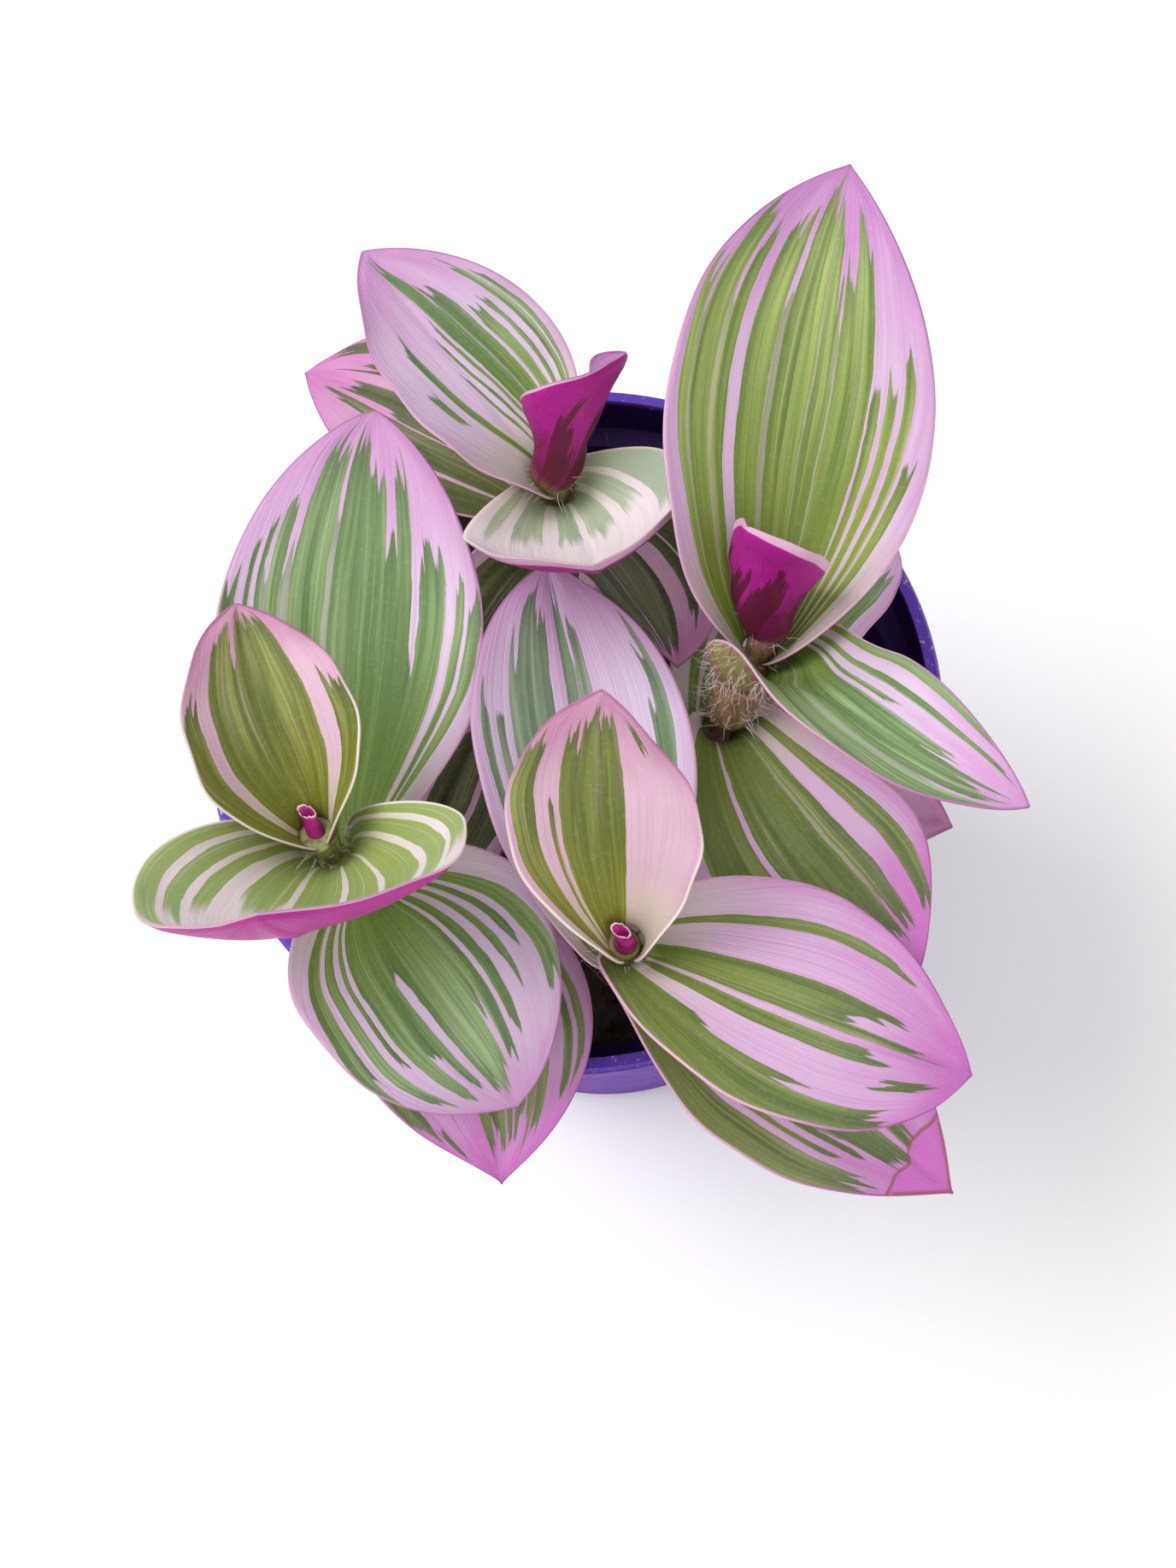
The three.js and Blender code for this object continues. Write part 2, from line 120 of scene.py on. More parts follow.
USUAL = dict(swerve=0, roll=0, twist=0, wrap=280, open=0.07, widest=0.43, point=1)
LEAVES = {
    "west": [
        dict(z=121, yaw=105, pitch=49, bend=33, swerve=-14, roll=-3, twist=21,
             length=29, width=25.5, cup=127, wrap=335, open=0.16, widest=0.37, point=0.84),
        dict(z=114.5, yaw=-90, pitch=37, bend=-53, swerve=-32, roll=-4, twist=34,
             length=46, width=45, cup=43, open=0.28, widest=0.38, point=1.1),
        dict(z=109, yaw=81, pitch=5, bend=-22, swerve=-12, twist=14,
             length=59, width=36, cup=50, point=0.75),
        dict(z=102.5, yaw=-65, pitch=37, bend=110, swerve=1, roll=-15, twist=21,
             length=40, width=35, cup=53, widest=0.32, point=1.07),
        dict(z=94, yaw=-55, pitch=6, bend=46, swerve=-48, roll=-15, twist=-6,
             length=42, width=34, cup=52, point=1.2),
        dict(z=86, yaw=57, pitch=10, bend=14, length=30, width=22, cup=50),
    ],
    "south": [
        dict(z=120, yaw=87, pitch=48, bend=-7, swerve=-7, roll=-3, twist=-14,
             length=33.5, width=26.5, cup=106, wrap=335, open=0.17, widest=0.5, point=0.82),
        dict(z=114.5, yaw=-35, pitch=25, bend=72, swerve=13, roll=-24, twist=24,
             length=48.5, width=31.5, cup=23, open=0.13, widest=0.41),
        dict(z=106, yaw=91, pitch=29, bend=48, swerve=-2, roll=11, twist=3,
             length=54, width=29, cup=58, widest=0.46, point=0.96),
        dict(z=98, yaw=-39, pitch=-19, bend=16, swerve=-8, roll=-5,
             length=57, width=31.5, cup=47, widest=0.38, point=1.1),
    ],
    "north": [
        dict(z=121.2, yaw=-187.5, pitch=131.8, bend=-18.1, swerve=58.7, roll=58.7, twist=64.5,
             length=22.4, width=18.8, cup=156.7, wrap=238.9, open=0.31, widest=0.604, point=0.703),
        dict(z=117.5, yaw=123, pitch=26.4, bend=0, swerve=1, roll=24.6, twist=-15.9,
             length=37, width=28, cup=92.9, wrap=278, open=0.081, widest=0.4, point=0.861),
        dict(z=112.5, yaw=-75, pitch=26, bend=-44, swerve=-23, roll=3, twist=4,
             length=37, width=34, cup=112, open=0.2, widest=0.47, point=1.05),
        dict(z=103.5, yaw=-45, pitch=18, bend=19, swerve=-52, roll=-23, twist=-2,
             length=31, width=21.5, cup=53, open=0.08, point=0.96),
        dict(z=98, yaw=129, pitch=18, bend=44, swerve=15, roll=-3,
             length=47, width=26, cup=46),
        dict(z=91, yaw=-135, pitch=-4, bend=10, length=26, width=21, cup=45),
    ],
    "east": [
        dict(z=123.8, yaw=-54.2, pitch=108.9, bend=-6.1, swerve=-14.2, roll=-27.4, twist=-54.7,
             length=20.7, width=16.4, cup=155.7, wrap=208.9, open=0.284, widest=0.505, point=0.657),
        dict(z=119.1, yaw=74.8, pitch=49.8, bend=48.5, swerve=-13.7, roll=39.8, twist=-33.1,
             length=62.5, width=37.3, cup=71.9, wrap=330, open=0.1, widest=0.403, point=0.967),
        dict(z=113.5, yaw=-65, pitch=70.5, bend=80, swerve=25, roll=-64.5, twist=76.5,
             length=51.2, width=23, cup=71, wrap=258, open=0.236, widest=0.217, point=0.85),
        dict(z=103, yaw=-87, pitch=7, bend=6, swerve=42, roll=-12, twist=-2,
             length=43, width=33, cup=62, open=0.06, widest=0.57, point=0.75),
        dict(z=97, yaw=57, pitch=21, bend=58, swerve=-36, roll=-8, twist=-5,
             length=42.5, width=25, cup=49, widest=0.45, point=0.8),
        dict(z=90, yaw=-29, pitch=6, bend=10, length=34, width=22, cup=50),
    ],
}

# ---- colours of the blades: pale, blush, light green, deep green, green at the base ----
PALETTES = {
    "cool": ((214, 190, 216), (196, 138, 190), (154, 182, 124), (86, 120, 56), (112, 142, 22)),
    "slate": ((208, 190, 214), (196, 140, 190), (158, 176, 150), (92, 118, 82), (114, 136, 66)),
    "olive": ((210, 176, 194), (190, 130, 164), (152, 160, 80), (88, 102, 28), (130, 134, 16)),
    "fresh": ((206, 174, 204), (184, 118, 182), (166, 184, 102), (96, 122, 40), (126, 144, 20)),
    "rosy": ((208, 172, 206), (198, 100, 188), (142, 158, 90), (84, 108, 44), (112, 128, 34)),
    "frosty": ((222, 208, 214), (214, 178, 200), (170, 188, 136), (138, 162, 96), (138, 152, 66)),
    "mist": ((230, 220, 222), (222, 192, 208), (196, 208, 190), (160, 177, 156), (172, 185, 142)),
    "dusky": ((204, 164, 190), (198, 112, 180), (118, 132, 74), (68, 86, 36), (92, 104, 34)),
    # shaded: the lowest leaves, darker partly in their own green and partly by painted shade from
    # the leaves above them
    "shaded": ((204, 164, 190), (180, 116, 164), (88, 104, 38), (44, 60, 14), (84, 96, 18)),
}

# ---- how each blade is striped ----
# spread: how far the stripes draw together at the base
# lean, swing: how far they lean at the base and at the tip
# soft: how gently they end
# hem: width of the pale hem of the underside, in millimetres
# sheath: share of the underside that looks like the sheath
# scar: where a torn line crosses
# stripes: where each is green across the blade, from and to, then where it ends along it, and
# where it starts if that isn't the base
USUAL_STRIPES = dict(spread=0.3, lean=0, swing=0, soft=0.014, hem=0.3, sheath=0.14)
STRIPES = {
    "west_1": dict(palette="olive", lean=-0.1, stripes=[
        (-1.25, -0.76, 0.6), (-0.52, -0.3, 0.93), (-0.3, 0.2, 0.95), (0.2, 0.28, 0.76),
        (0.28, 0.64, 0.88), (0.82, 1.25, 0.64)]),
    "west_2": dict(palette="frosty", spread=-0.1, soft=0.12, stripes=[
        (-1.25, -0.84, 0.75), (-0.8, -0.7, 0.62), (-0.65, -0.56, 0.5), (-0.44, -0.2, 0.42),
        (-0.16, 0.1, 0.56), (0.14, 0.34, 0.58), (0.38, 0.6, 0.5), (0.66, 0.8, 0.6),
        (0.84, 1.25, 0.55)]),
    "west_3": dict(palette="cool", spread=0.45, stripes=[
        (-1.1, -0.98, 0.6), (-0.94, -0.86, 0.62), (-0.78, -0.72, 0.69), (-0.72, -0.6, 0.74),
        (-0.6, -0.55, 0.64), (-0.55, -0.49, 0.43), (-0.49, -0.35, 0.89), (-0.35, -0.25, 0.71),
        (-0.25, -0.11, 0.88), (-0.11, -0.03, 0.86), (-0.03, 0.07, 0.92), (0.07, 0.2, 0.95),
        (0.25, 0.42, 0.9), (0.42, 0.54, 0.93), (0.62, 0.73, 0.78), (0.77, 0.82, 0.73),
        (0.86, 0.9, 0.7), (0.97, 1.1, 0.6)]),
    "west_4": dict(palette="cool", spread=0.47, lean=-0.07, stripes=[
        (-1.1, -0.95, 0.62), (-0.88, -0.78, 0.77), (-0.71, -0.66, 0.6), (-0.61, -0.46, 0.84),
        (-0.46, -0.37, 0.66), (-0.37, -0.28, 0.8), (-0.28, -0.19, 0.38), (-0.19, -0.06, 0.83),
        (-0.06, 0.05, 0.9), (0.05, 0.19, 0.84), (0.19, 0.26, 0.55), (0.26, 0.38, 0.8),
        (0.42, 0.52, 0.7), (0.62, 0.7, 0.55), (0.78, 0.85, 0.45), (0.92, 1.1, 0.62)]),
    "west_5": dict(palette="rosy", stripes=[
        (-1.25, -0.82, 0.76), (-0.82, -0.74, 0.9, 0.8), (-0.22, 0.02, 0.84), (0.02, 0.12, 0.88),
        (0.14, 0.22, 0.86), (0.25, 0.38, 0.83), (0.4, 0.47, 0.85), (0.5, 0.62, 0.83),
        (0.78, 0.85, 0.72), (0.9, 0.97, 0.7)]),
    "west_6": dict(palette="shaded", stripes=[
        (-0.9, -0.4, 0.8), (-0.3, 0.3, 0.9), (0.45, 0.9, 0.8)]),
    "south_1": dict(palette="olive", spread=0.23, lean=0.11, stripes=[
        (-0.6, -0.46, 0.92, 0.82), (-0.18, 0.04, 0.89), (0.04, 0.07, 0.85), (0.07, 0.15, 0.91),
        (0.15, 0.28, 0.87), (0.28, 0.33, 0.78), (0.33, 0.47, 0.84), (0.53, 0.58, 0.57),
        (0.72, 0.96, 0.82)]),
    "south_2": dict(palette="rosy", spread=0.45, lean=0.07, stripes=[
        (-1.25, -0.84, 0.74), (-0.84, -0.74, 0.5), (-0.74, -0.62, 0.3), (-0.78, -0.66, 0.94, 0.82),
        (-0.66, -0.48, 0.87, 0.75), (-0.36, -0.2, 0.67), (-0.12, 0.0, 0.84), (0.0, 0.1, 0.6),
        (0.1, 0.17, 0.66), (0.17, 0.25, 0.74), (0.68, 0.8, 0.7)]),
    "south_3": dict(palette="slate", spread=0.2, stripes=[
        (-0.9, -0.84, 0.76), (-0.84, -0.78, 0.68), (-0.78, -0.72, 0.5), (-0.22, -0.11, 0.78),
        (-0.08, 0.04, 0.89), (0.18, 0.3, 0.8), (0.3, 0.54, 0.87), (0.54, 0.63, 0.73),
        (0.7, 0.78, 0.6), (0.85, 0.93, 0.62)]),
    "south_4": dict(palette="rosy", lean=-0.1, scar=0.84, stripes=[
        (-1.25, -0.72, 0.76), (-0.64, -0.58, 0.68), (-0.5, -0.42, 0.75), (-0.38, -0.2, 0.82),
        (-0.2, -0.02, 0.88), (0.08, 0.28, 0.84), (0.4, 0.6, 0.7), (0.75, 0.95, 0.6)]),
    "north_1": dict(palette="fresh", lean=0.9, sheath=0.05, stripes=[
        (-0.72, -0.62, 0.54), (-0.62, -0.5, 0.68), (-0.5, -0.36, 0.5), (-0.36, -0.22, 0.3),
        (-0.06, 0.12, 0.82), (0.12, 0.36, 0.8)]),
    "north_2": dict(palette="cool", spread=0.37, lean=-0.34, swing=4, stripes=[
        (-0.92, -0.87, 0.68), (-0.85, -0.78, 0.8), (-0.7, -0.64, 0.62), (-0.58, -0.46, 0.58),
        (-0.42, -0.27, 0.75), (-0.24, -0.07, 0.93), (-0.04, 0.0, 0.67), (0.05, 0.09, 0.56),
        (0.16, 0.2, 0.5), (0.46, 0.57, 0.68), (0.7, 0.82, 0.42, 0.28)]),
    "north_3": dict(palette="mist", spread=-0.35, lean=0.12, soft=0.1, hem=2.2, stripes=[
        (-0.8, -0.7, 0.42), (-0.6, -0.36, 0.39), (-0.24, -0.06, 0.4), (0.0, 0.2, 0.4),
        (0.3, 0.47, 0.38), (0.55, 0.95, 0.6)]),
    "north_4": dict(palette="shaded", spread=0.2, lean=-0.2, stripes=[
        (-1.1, -0.52, 0.9), (-0.48, 0.15, 0.93), (0.42, 0.6, 0.75), (0.63, 0.95, 0.7)]),
    "north_5": dict(palette="dusky", stripes=[
        (-0.87, -0.62, 0.9), (-0.6, -0.49, 0.55), (-0.45, -0.25, 0.78), (-0.2, -0.1, 0.55),
        (-0.1, 0.17, 0.8), (0.17, 0.25, 0.58), (0.27, 0.42, 0.83), (0.42, 0.62, 0.5),
        (0.68, 1.25, 0.62)]),
    "north_6": dict(palette="shaded", stripes=[
        (-0.9, -0.1, 0.85), (0.1, 0.8, 0.8)]),
    "east_1": dict(palette="olive", lean=-1.5, hem=1.3, sheath=0.02, stripes=[
        (-0.9, -0.52, 0.72), (-0.42, -0.26, 0.45), (-0.26, -0.12, 0.57), (-0.12, -0.04, 0.49),
        (-0.04, 0.08, 0.6), (0.2, 0.34, 0.47), (0.34, 0.48, 0.59), (0.48, 0.6, 0.67),
        (0.6, 0.72, 0.55), (0.72, 0.84, 0.42)]),
    "east_2": dict(palette="fresh", spread=0.35, stripes=[
        (-1.05, -0.95, 0.44), (-0.92, -0.84, 0.58), (-0.8, -0.72, 0.56), (-0.68, -0.61, 0.54),
        (-0.59, -0.42, 0.86), (-0.42, -0.3, 0.8), (-0.28, -0.24, 0.74), (-0.24, -0.13, 0.9),
        (-0.12, 0.0, 0.93), (0.0, 0.16, 0.95), (0.22, 0.34, 0.83), (0.34, 0.44, 0.87),
        (0.55, 0.66, 0.84), (0.7, 0.88, 0.82), (0.91, 1.0, 0.73)]),
    "east_3": dict(palette="cool", spread=0.8, lean=0.8, sheath=0.5, stripes=[
        (-1.25, -0.72, 0.94), (-0.64, -0.4, 0.91), (-0.4, -0.1, 0.88), (-0.1, 0.12, 0.8),
        (0.22, 0.31, 0.6), (0.46, 0.59, 0.93), (0.82, 1.1, 0.88)]),
    "east_4": dict(palette="rosy", spread=0.15, stripes=[
        (-0.8, -0.5, 0.6), (-0.5, -0.28, 0.66), (-0.22, 0.06, 0.86), (0.06, 0.31, 0.9),
        (0.35, 0.5, 0.9), (0.69, 0.86, 0.9)]),
    "east_5": dict(palette="cool", stripes=[
        (-0.85, -0.5, 0.8), (-0.4, 0.1, 0.95), (0.2, 0.6, 0.85), (0.7, 0.9, 0.7)]),
    "east_6": dict(palette="shaded", stripes=[
        (-0.6, -0.3, 0.5), (0.1, 0.35, 0.6)]),
}

# ---- how the stripes run, in shares of a blade's length and half-width ----
TIP_ZONE = 0.72  # beyond it the stripes draw together
TIP_DRAW = 5
WANDER = 0.035
FRAY = 0.03
RAGGED_ENDS = 0.32
VEIL = 0.7  # how green the narrow gaps between two stripes are
WIDEST_VEIL = 0.09
VEILED_LENGTH = 0.7  # only gaps between stripes this long are veiled
VEIL_LOSS = 0.08  # how much sooner a veil ends than its stripes
RAMP_SCALE = 0.4
RAMP_MIDDLE = 0.5
RAMP_REACH = 1.25  # a stripe that starts or ends here runs on to the margin
END_LIFT = 0.03  # added to each end, so that places with no stripe stay pale at the base too

# ---- noise on the blades: waves across and along, and how much detail ----
WANDERING = (3, 5, 1)
FRAYING = (42, 10, 2)
RIBS = (26, 1.5, 2)
QUILTING = (7, 6, 2)
SHEATH_STREAKS = (11, 4, 2)
END_WAVES = 15
GRAIN_SCALE = 1500
CELL_SCALE = 2600


# ---- small helpers for node trees: each adds to the tree that was begun last ----
TREES = []
BLADE_COLOURS = ("Pale", "Blush", "Light green", "Deep green", "Base green", "Rim")
SOCKETS = {"UV": "Vector", **dict.fromkeys(("Stripe", "Colour", *BLADE_COLOURS), "Color")}


def rgb(red, green, blue):
    """An everyday colour, 0 to 255, as Blender's linear one."""
    shares = [c / 255 for c in (red, green, blue)]
    linear = [s / 12.92 if s <= 0.04045 else ((s + 0.055) / 1.055) ** 2.4 for s in shares]
    return (*linear, 1)


def join(value, socket):
    if isinstance(value, bpy.types.NodeSocket):
        TREES[-1].links.new(value, socket)
    else:
        socket.default_value = value


def place(kind, inputs=None, **settings):
    node = TREES[-1].nodes.new(kind)
    for key, value in settings.items():
        setattr(node, key, value)
    for key, value in (inputs or {}).items():
        join(value, node.inputs[key])
    return node


def calc(operation, *values, clamp=False):
    node = place("ShaderNodeMath", operation=operation, use_clamp=clamp)
    for socket, value in zip(node.inputs, values):
        join(value, socket)
    return node.outputs[0]


def times(first, second):
    return calc("MULTIPLY", first, second)


def minus(first, second):
    return calc("SUBTRACT", first, second)


def scaled(value, factor, offset, clamp=False):
    return calc("MULTIPLY_ADD", value, factor, offset, clamp=clamp)


def swayed(value, noise_value, amount):
    """A value moved up and down by a noise whose middle is a half."""
    return scaled(minus(noise_value, 0.5), amount, value)


def mix(share, first, second):
    node = place("ShaderNodeMix", data_type="RGBA")
    for key, value in ((0, share), (6, first), (7, second)):
        join(value, node.inputs[key])
    return node.outputs[2]


def step(value, low, high, bottom=0, top=1):
    inputs = {"Value": value, "From Min": low, "From Max": high, "To Min": bottom, "To Max": top}
    return place("ShaderNodeMapRange", inputs, interpolation_type="SMOOTHSTEP").outputs[0]


def cloud(vector, scale, detail=2, rough=0.5):
    inputs = {"Vector": vector, "Scale": scale, "Detail": detail, "Roughness": rough}
    return place("ShaderNodeTexNoise", inputs).outputs["Fac"]


def point(x, y, z=0):
    return place("ShaderNodeCombineXYZ", {"X": x, "Y": y, "Z": z}).outputs[0]


def drawn_out(at, waves_across, waves_along, detail, shift=0):
    """Noise drawn out along a blade."""
    spot = point(scaled(at["Across"], waves_across, shift),
                 times(at["Along"], waves_along), at["Seed"])
    return cloud(spot, 1, detail)


def here():
    return place("ShaderNodeTexCoord").outputs["Object"]


def attribute(name):
    return place("ShaderNodeAttribute", attribute_name=name).outputs["Fac"]


def start_group(name, inputs, outputs):
    tree = bpy.data.node_groups.new(name, "ShaderNodeTree")
    TREES.append(tree)
    for in_out, labels in (("INPUT", inputs), ("OUTPUT", outputs)):
        for label in labels:
            kind = "NodeSocket" + SOCKETS.get(label, "Float")
            tree.interface.new_socket(label, in_out=in_out, socket_type=kind)
    return tree, tree.nodes.new("NodeGroupInput").outputs, tree.nodes.new("NodeGroupOutput").inputs


def use(group, inputs):
    return place("ShaderNodeGroup", inputs, node_tree=group).outputs


def start_material(name):
    material = bpy.data.materials.new(name)
    material.use_nodes = True
    TREES.append(material.node_tree)
    return material, material.node_tree.nodes["Principled BSDF"].inputs


def finish_skin(skin, colour, rough, height, strength, depth):
    """Join colour, roughness and a relief, so many millimetres deep, to a material's shader."""
    bump = {"Height": height, "Strength": strength, "Distance": depth * MM}
    join(colour, skin["Base Color"])
    join(rough, skin["Roughness"])
    join(place("ShaderNodeBump", bump).outputs[0], skin["Normal"])


# ---- node groups of the blades ----
def field_group():
    """Where a point lies among the stripes, and its place on the ramp that holds them."""
    tree, given, out = start_group(
        "blade_field", ("UV", "Spread", "Lean", "Swing", "Seed"), ("Across", "Along", "Ramp"))
    right, along, _ = place("ShaderNodeSeparateXYZ", {0: given["UV"]}).outputs
    side = scaled(right, 2, -1)
    to_tip = calc("POWER", minus(1, along), 2)
    at_tip = calc("POWER", calc("MAXIMUM", minus(along, TIP_ZONE), 0), 2)
    shifted = minus(side, times(given["Lean"], to_tip))
    shifted = minus(shifted, times(given["Swing"], at_tip))
    fan = minus(1, times(given["Spread"], to_tip))
    across = calc("DIVIDE", shifted, scaled(at_tip, TIP_DRAW, fan))
    at = {"Across": across, "Along": along, "Seed": given["Seed"]}
    at["Across"] = swayed(across, drawn_out(at, *WANDERING), WANDER)
    frayed = swayed(at["Across"], drawn_out(at, *FRAYING), FRAY)
    join(at["Across"], out["Across"])
    join(along, out["Along"])
    join(scaled(frayed, RAMP_SCALE, RAMP_MIDDLE), out["Ramp"])
    return tree


def mask_group():
    """1 where a blade is green: between the start and the ragged end of a stripe."""
    tree, given, out = start_group(
        "green_mask", ("Across", "Along", "Stripe", "Soft", "Seed"), ("Green", "Ending", "Tone"))
    end, start, tone = place("ShaderNodeSeparateColor", {0: given["Stripe"]}).outputs
    fine = cloud(point(times(given["Across"], END_WAVES), given["Seed"]), 1, 1)
    ragged = swayed(given["Along"], fine, RAGGED_ENDS)
    left = minus(minus(end, END_LIFT), ragged)
    begun = minus(ragged, minus(start, 0.02))
    from_base = calc("LESS_THAN", start, 0.01)
    started = step(calc("ADD", begun, from_base), 0, 0.012)
    solid = step(tone, 0, 0.4, VEIL, 0.97)
    filled = times(step(left, -0.006, given["Soft"]), started)
    crispness = scaled(given["Soft"], -8, 1, clamp=True)
    join(times(filled, solid), out["Green"])
    join(tone, out["Tone"])
    join(times(step(left, 0.16, 0), crispness), out["Ending"])
    return tree


def paint_group():
    """The upper face: stripes of two greens on a pale ground that blushes at tip and margin."""
    numbers = ("Across", "Along", "Green", "Ending", "Tone", "Margin", "Seed")
    tree, given, out = start_group("upper_paint", numbers + BLADE_COLOURS, ("Colour", "Roughness"))
    along, margin = given["Along"], given["Margin"]
    pale, blush, light, deep, base, rim = (given[label] for label in BLADE_COLOURS)
    broad = drawn_out(given, 6, 0.9, 2, 3)
    middle = drawn_out(given, 20, 1.1, 2, 9)
    fine = drawn_out(given, 60, 1.2, 1, 5)
    uneven = drawn_out(given, 2.5, 3, 2)

    streaks = calc("ADD", step(broad, 0.38, 0.6, 0, 0.6), step(middle, 0.42, 0.58, 0, 0.5))
    tone = scaled(given["Tone"], 0.35, minus(streaks, 0.22), clamp=True)
    green = mix(tone, light, deep)
    at_base = mix(times(tone, 0.5), base, deep)
    green = mix(step(swayed(along, broad, 0.5), 0.65, 0.1, 0, 0.9), green, at_base)
    hairline = times(step(fine, 0.54, 0.66), step(broad, 0.58, 0.4))
    green = mix(times(hairline, 0.4), green, mix(0.5, pale, light))
    # painted sheen: pale patches over the green, stronger towards the tip, stand in for a soft
    # highlight
    painted_sheen = step(times(middle, calc("ADD", along, 0.5)), 0.5, 0.8, 0, 0.14)
    green = mix(painted_sheen, green, mix(0.4, light, pale))
    ending = mix(0.5, deep, END_GREY)
    green = mix(times(given["Ending"], 0.6), green, ending)

    ground = mix(step(fine, 0.5, 0.68, 0, 0.3), pale, blush)
    ground = mix(step(swayed(along, uneven, 0.5), 0.5, 1, 0, 0.85), ground, blush)
    ground = mix(step(margin, 2.6, 0.3, 0, 0.35), ground, blush)
    ground = mix(step(along, 0.34, 0.04, 0, 0.6), ground, mix(0.4, CREAM, base))

    skin = mix(given["Green"], ground, green)
    grain = cloud(here(), GRAIN_SCALE, 3)
    skin = mix(step(grain, 0.5, 0.75, 0, 0.04), skin, GLINT)
    edge = mix(step(along, 0.35, 0.85), rim, mix(0.4, blush, EDGE_PLUM))
    skin = mix(step(margin, 0.3, 0.12), skin, edge)
    join(skin, out["Colour"])
    join(scaled(grain, 0.25, 0.34), out["Roughness"])
    return tree


def relief_group():
    """Fine ribs that run along a blade, and the cells of its skin."""
    tree, given, out = start_group("blade_relief", ("Across", "Along", "Seed"), ("Height",))
    rib, quilt = drawn_out(given, *RIBS), drawn_out(given, *QUILTING)
    cells = cloud(here(), CELL_SCALE, 1)
    height = scaled(rib, 0.7, times(quilt, 0.5))
    join(scaled(cells, 0.06, height), out["Height"])
    return tree


CREAM = rgb(226, 222, 196)
GLINT = rgb(255, 250, 252)
EDGE_PLUM = rgb(120, 50, 90)
END_GREY = rgb(62, 72, 62)
RIM_PINK = rgb(214, 168, 194)
RIM_CREAM = rgb(228, 214, 206)
MAGENTA = rgb(186, 28, 150)
DEEP_MAGENTA = rgb(150, 16, 116)
MAROON = rgb(88, 22, 42)
SCAR_BROWN = rgb(150, 88, 84)
SCAR_PINK = rgb(206, 112, 196)
SHEATH_BASE_SHADE = rgb(84, 48, 46)
SHEATH_BROWN = rgb(156, 98, 96)
SHEATH_GREEN = rgb(152, 152, 84)
CREAM_RIMMED = ("west_1", "west_2", "south_1", "north_3", "east_1")
BLADE_GLOSS = 0.22
FIELD, MASK, PAINT, RELIEF = field_group(), mask_group(), paint_group(), relief_group()


def stripe_ramp(spot, stripes):
    """The end, start and tone of the green at each place across the blade, from its stripes."""
    node = place("ShaderNodeValToRGB", {0: spot})
    ramp = node.color_ramp
    ramp.interpolation = "CONSTANT"
    veils = [(a[1], b[0], min(a[2], b[2]) - VEIL_LOSS) for a, b in zip(stripes, stripes[1:])
             if 0 < b[0] - a[1] < WIDEST_VEIL and min(a[2], b[2]) > VEILED_LENGTH]
    ramp.elements[0].position = 0
    ramp.elements[0].color = (0, 0, 0, 1)
    ramp.elements.remove(ramp.elements[1])
    for edge in sorted({e for s in stripes + veils for e in s[:2] if e < RAMP_REACH}):
        middle = edge + 0.005
        inside = [s for s in stripes if s[0] <= middle < s[1]]
        veiled = [s for s in veils if s[0] <= middle < s[1]]
        end, start, tone = 0, 0, 0
        if inside:
            low, high, end, *late = inside[0]
            end, start = end + END_LIFT, late[0] if late else 0
            tone = min(1, 0.7 + 0.3 * sin(low * 41) + 2 * (high - low))
        elif veiled:
            end = veiled[0][2]
        known = edge <= -RAMP_REACH
        stop = ramp.elements[0] if known else ramp.elements.new(edge * RAMP_SCALE + RAMP_MIDDLE)
        stop.color = (end, start, tone, 1)
    return node.outputs[0]


def torn_line(colour, at, margin, scar):
    """A brown torn line across the tip, with pinker skin and dry margins beyond it."""
    jag = cloud(point(times(at["Across"], 1.2), at["Seed"]), 1, 1)
    beyond = minus(at["Along"], swayed(scar, jag, 0.14))
    colour = mix(step(beyond, 0, 0.01, 0, 0.8), colour, SCAR_PINK)
    line = step(calc("ABSOLUTE", beyond), 0.007, 0.003, 0, 0.75)
    colour = mix(line, colour, SCAR_BROWN)
    dry = times(step(margin, 0.9, 0.3), step(beyond, 0, 0.02))
    return mix(times(dry, 0.7), colour, SCAR_BROWN)


def underside(uv, at, green, margin, sheath_share, hem_width):
    """Magenta, maroon behind the green stripes, like the sheath at the base, with a pale hem."""
    ground = mix(cloud(uv, 9, 3), MAGENTA, DEEP_MAGENTA)
    flow = scaled(cloud(uv, 14, 2), 0.3, at["Along"])
    ground = mix(step(flow, 0.62, 0.28, 0, 0.85), ground, MAROON)
    colour = mix(times(green, 0.9), ground, MAROON)
    streak = drawn_out(at, *SHEATH_STREAKS)
    sheath = mix(step(streak, 0.4, 0.58), SHEATH_BROWN, SHEATH_GREEN)
    # painted shade: the sheath is darkened at the base of the blade
    sheath = mix(step(at["Along"], 0.1, 0.01, 0, 0.8), sheath, SHEATH_BASE_SHADE)
    past_sheath = minus(at["Along"], sheath_share)
    colour = mix(step(past_sheath, 0.06, -0.08), colour, sheath)
    hem = step(at["Along"], 0.2, 0.6, 0.2, hem_width)
    return mix(step(minus(hem, margin), -0.1, 0.1), colour, RIM_PINK)


